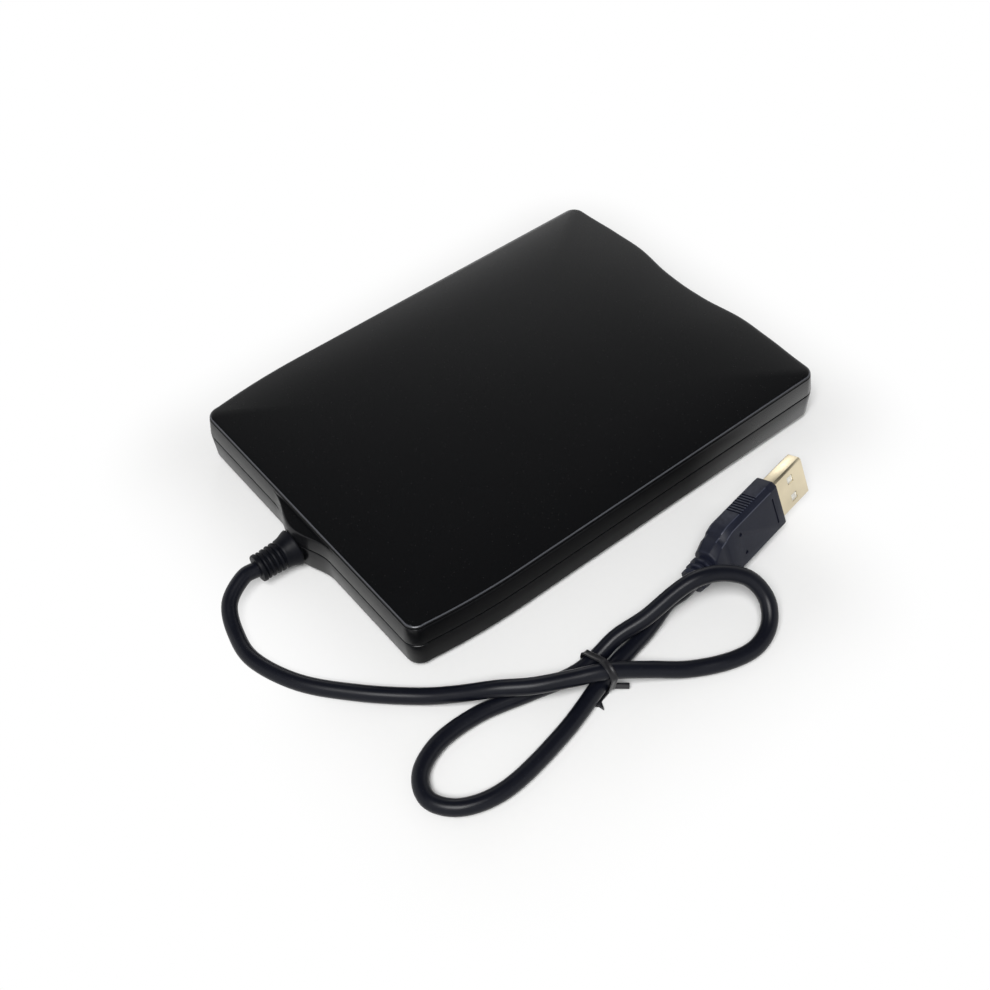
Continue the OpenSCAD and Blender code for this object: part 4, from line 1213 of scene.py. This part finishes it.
TIE_PLACE = (-80.2, 37.6, 0.0)
TIE_TURN = -6
TIE_LOOP = (
    (4.6, 0.5), (5.35, 0.65), (6.22, 1.8), (6.5, 3.1), (6.17, 4.48), (5.58, 5.1), (2.4, 7.35),
    (-1.03, 9.75), (-2.38, 10.2), (-4.05, 10.05), (-5.35, 9.4), (-6.18, 8.28), (-6.35, 7.2),
    (-5.85, 4.6), (-5.25, 2.05), (-4.38, 0.9), (-3.0, 0.3), (0.8, 0.3),
)  # fmt: skip
TIE_BAND = (
    (-0.95, -0.1), (-0.97, 0.05), (-0.9, 0.17), (-0.72, 0.2), (-0.52, 0.13), (-0.36, 0.03),
    (0.36, 0.03), (0.52, 0.13), (0.72, 0.2), (0.9, 0.17), (0.97, 0.05), (0.95, -0.1), (0.0, -0.14),
)  # fmt: skip
TIE_POINTED_END = (
    (-83.9, 37.0), (-85.0, 38.6), (-85.3, 40.1), (-85.65, 41.5), (-87.85, 42.56), (-86.26, 42.95),
    (-85.2, 44.0), (-84.8, 43.3), (-84.9, 41.8), (-84.1, 39.6), (-83.3, 38.2),
)  # fmt: skip
TIE_SQUARE_END = ((-87.05, 33.7), (-87.6, 34.15), (-84.7, 37.6), (-84.15, 37.15))
# The free ends: outline in plan, and the heights between which it lies.
TIE_ENDS = ((TIE_POINTED_END, (0.06, 0.72)), (TIE_SQUARE_END, (0.95, 2.8)))


def smooth_loop(points, steps):
    """A denser closed line through the points."""
    line = []
    count = len(points)
    for i in range(count):
        a, b, c, d = (Vector(points[(i + k) % count]) for k in (-1, 0, 1, 2))
        second, third = 2 * a - 5 * b + 4 * c - d, 3 * b - 3 * c + d - a
        for t in (step / steps for step in range(steps)):
            line.append(0.5 * (2 * b + (c - a) * t + second * t * t + third * t**3))
    return line


class DRIVE_OT_cord_tie(bpy.types.Operator):
    """Build the coated wire tie round the crossing strands, with its two free ends"""

    bl_idname = "drive.cord_tie"
    bl_label = "Cord Tie"

    def execute(self, context):
        turn = Matrix.Rotation(math.radians(TIE_TURN), 3, "Z")
        line = smooth_loop(TIE_LOOP, 4)
        middle = Vector((sum(p.x for p in line), sum(p.y for p in line))) / len(line)
        points = []
        for i, spot in enumerate(line):
            way = (line[(i + 1) % len(line)] - line[i - 1]).normalized()
            out = Vector((way.y, -way.x))
            if out.dot(spot - middle) < 0:
                out = -out
            for across, rise in TIE_BAND:
                flat = spot + out * rise
                points.append(place(*(Vector(TIE_PLACE) + turn @ Vector((flat.x, across, flat.y)))))
        faces = ring_faces(len(line), len(TIE_BAND), True)
        for outline, heights in TIE_ENDS:
            sides, ends = bar_faces(len(points), len(outline))
            points += [place(x, y, z) for z in heights for x, y in outline]
            faces += ends + sides
        tie = new_piece("wire_tie", points, faces, 45.0)
        soften(tie, 0.12, 50.0)
        clothe(tie, "case", "tie_black", ["cord_tie"])
        return {"FINISHED"}


# ---------------------------------------------------------------- pieces that keep their CAD shape


WELD_DISTANCE = 0.002 * MM
FLAT_FACE_WEIGHT = 60


def dress(finish, width, *names):
    """Gives CAD nodes their finish and a small round on their sharp edges."""
    for name in names:
        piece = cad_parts[name]
        set_finish(piece, finish)
        if width:
            weld = piece.modifiers.new("weld", "WELD")
            weld.merge_threshold = WELD_DISTANCE
            soften(piece, width, 35.0)
            even = piece.modifiers.new("even", "WEIGHTED_NORMAL")
            even.keep_sharp = False
            even.weight = FLAT_FACE_WEIGHT


BUTTON_FACE = -68.08
RIDGE_HEIGHTS = (6.35, 7.1, 7.85)
RIDGE_ENDS = (26.5, 34.5)


class DRIVE_OT_front(bpy.types.Operator):
    """Finish the front bezel, dust flap, eject button and lens, and build the button's ridges"""

    bl_idname = "drive.front"
    bl_label = "Front"

    def execute(self, context):
        dress("bezel_black", 0.15, "front_bezel")
        dress("flap_black", 0.12, "dust_flap")
        dress("flap_black", 0.25, "eject_button")
        turns = [math.pi * k / 8 for k in range(9)]
        half_round = [(BUTTON_FACE - 0.2 * math.sin(turn), 0.22 * math.cos(turn)) for turn in turns]
        for k, height in enumerate(RIDGE_HEIGHTS):
            profile = [(y, z + height) for y, z in half_round]
            ridge = prisms(f"button_ridge_{k + 1}", profile, [RIDGE_ENDS], place)
            soften(ridge, 0.06, 50.0)
            clothe(ridge, "eject_slide", "flap_black")
        dress("lens_green", 0.2, "led_lens", "led")
        return {"FINISHED"}


class DRIVE_OT_feet(bpy.types.Operator):
    """Finish the rubber feet and the case screws"""

    bl_idname = "drive.feet"
    bl_label = "Feet and Case Screws"

    def execute(self, context):
        dress("foot_black", 0.3, "rubber_feet")
        dress("ground_steel", 0.08, "case_screws")
        return {"FINISHED"}


class DRIVE_OT_plug_core(bpy.types.Operator):
    """Finish the plug's insulator and contacts"""

    bl_idname = "drive.plug_core"
    bl_label = "Plug Core"

    def execute(self, context):
        dress("white_moulding", 0.08, "usb_plug_insulator")
        dress("contact_gold", 0.03, "usb_plug_contacts")
        return {"FINISHED"}


class DRIVE_OT_sheet_metal(bpy.types.Operator):
    """Finish the chassis, the disk holder, the eject plate and what holds them"""

    bl_idname = "drive.sheet_metal"
    bl_label = "Sheet Metal"

    def execute(self, context):
        dress("sheet_zinc", 0.1, "chassis_frame", "disk_holder", "eject_plate", "motor_bracket", "rod_clips")
        dress("sheet_zinc", 0.1, "shutter_lever", "upper_head_arm")
        dress("ground_steel", 0.06, "chassis_screws", "eject_springs", "lever_pivot", "arm_pin", "arm_spring")
        return {"FINISHED"}


class DRIVE_OT_spindle(bpy.types.Operator):
    """Finish the spindle and its flat motor"""

    bl_idname = "drive.spindle"
    bl_label = "Spindle"

    def execute(self, context):
        dress("board_green", 0.0, "motor_board")
        dress("ground_steel", 0.08, "stator_poles", "spindle_hub", "drive_pin")
        dress("coil_copper", 0.1, "stator_coils")
        dress("bearing_bronze", 0.08, "spindle_bearing")
        dress("sheet_zinc", 0.12, "rotor_cup")
        dress("magnet_dark", 0.1, "rotor_magnet")
        return {"FINISHED"}


class DRIVE_OT_heads(bpy.types.Operator):
    """Finish the head carriage, its heads, its rods and its screw drive"""

    bl_idname = "drive.heads"
    bl_label = "Heads"

    def execute(self, context):
        dress("carriage_grey", 0.12, "head_carriage", "screw_follower")
        dress("head_ceramic", 0.08, "lower_head", "upper_head")
        dress("ground_steel", 0.08, "guide_rods", "stepper_motor", "lead_screw")
        dress("bearing_bronze", 0.08, "screw_bearing")
        return {"FINISHED"}


class DRIVE_OT_electronics(bpy.types.Operator):
    """Finish the control board with its parts, wires and switches"""

    bl_idname = "drive.electronics"
    bl_label = "Electronics"

    def execute(self, context):
        dress("board_green", 0.0, "control_board")
        dress("ground_steel", 0.06, "board_screws", "crystal")
        dress("chip_black", 0.08, "control_chips")
        dress("capacitor_brown", 0.08, "board_capacitors")
        dress("white_moulding", 0.08, "cable_connector", "ribbon_connectors")
        dress("white_moulding", 0.08, "plunger_left", "plunger_right", "plunger_inner")
        dress("wire_red", 0.0, "inner_wires")
        dress("ribbon_pale", 0.0, "flat_ribbon")
        dress("flap_black", 0.1, "switch_bodies")
        return {"FINISHED"}


# ---------------------------------------------------------------- panel and registration


OPERATORS = (
    DRIVE_OT_finishes,
    DRIVE_OT_stage,
    DRIVE_OT_plug,
    DRIVE_OT_plug_core,
    DRIVE_OT_cord_tie,
    DRIVE_OT_strain_relief,
    DRIVE_OT_cord,
    DRIVE_OT_top_cover,
    DRIVE_OT_bottom_cover,
    DRIVE_OT_front,
    DRIVE_OT_feet,
    DRIVE_OT_sheet_metal,
    DRIVE_OT_spindle,
    DRIVE_OT_heads,
    DRIVE_OT_electronics,
)


class DRIVE_PT_panel(bpy.types.Panel):
    """Lists the drive's pieces in the order in which they are built"""

    bl_idname = "DRIVE_PT_panel"
    bl_label = "Disk Drive"
    bl_space_type = "VIEW_3D"
    bl_region_type = "UI"
    bl_category = "Disk Drive"

    def draw(self, context):
        for operator in OPERATORS:
            self.layout.operator(operator.bl_idname)
        for group in (context.scene.drive_case, context.scene.drive_cord, context.scene.drive_stage):
            box = self.layout.box()
            for key in group.__annotations__:
                box.prop(group, key)


CLASSES = (DriveCaseSettings, DriveCordSettings, DriveStageSettings, *OPERATORS, DRIVE_PT_panel)


def register():
    for item in CLASSES:
        bpy.utils.register_class(item)
    bpy.types.Scene.drive_case = bpy.props.PointerProperty(type=DriveCaseSettings)
    bpy.types.Scene.drive_cord = bpy.props.PointerProperty(type=DriveCordSettings)
    bpy.types.Scene.drive_stage = bpy.props.PointerProperty(type=DriveStageSettings)


def unregister():
    del bpy.types.Scene.drive_case
    del bpy.types.Scene.drive_cord
    del bpy.types.Scene.drive_stage
    for item in reversed(CLASSES):
        bpy.utils.unregister_class(item)


def main():
    """Build everything in order."""
    register()
    for operator in OPERATORS:
        name = operator.bl_idname.split(".")[1]
        getattr(bpy.ops.drive, name)()


if __name__ == "__main__":
    main()
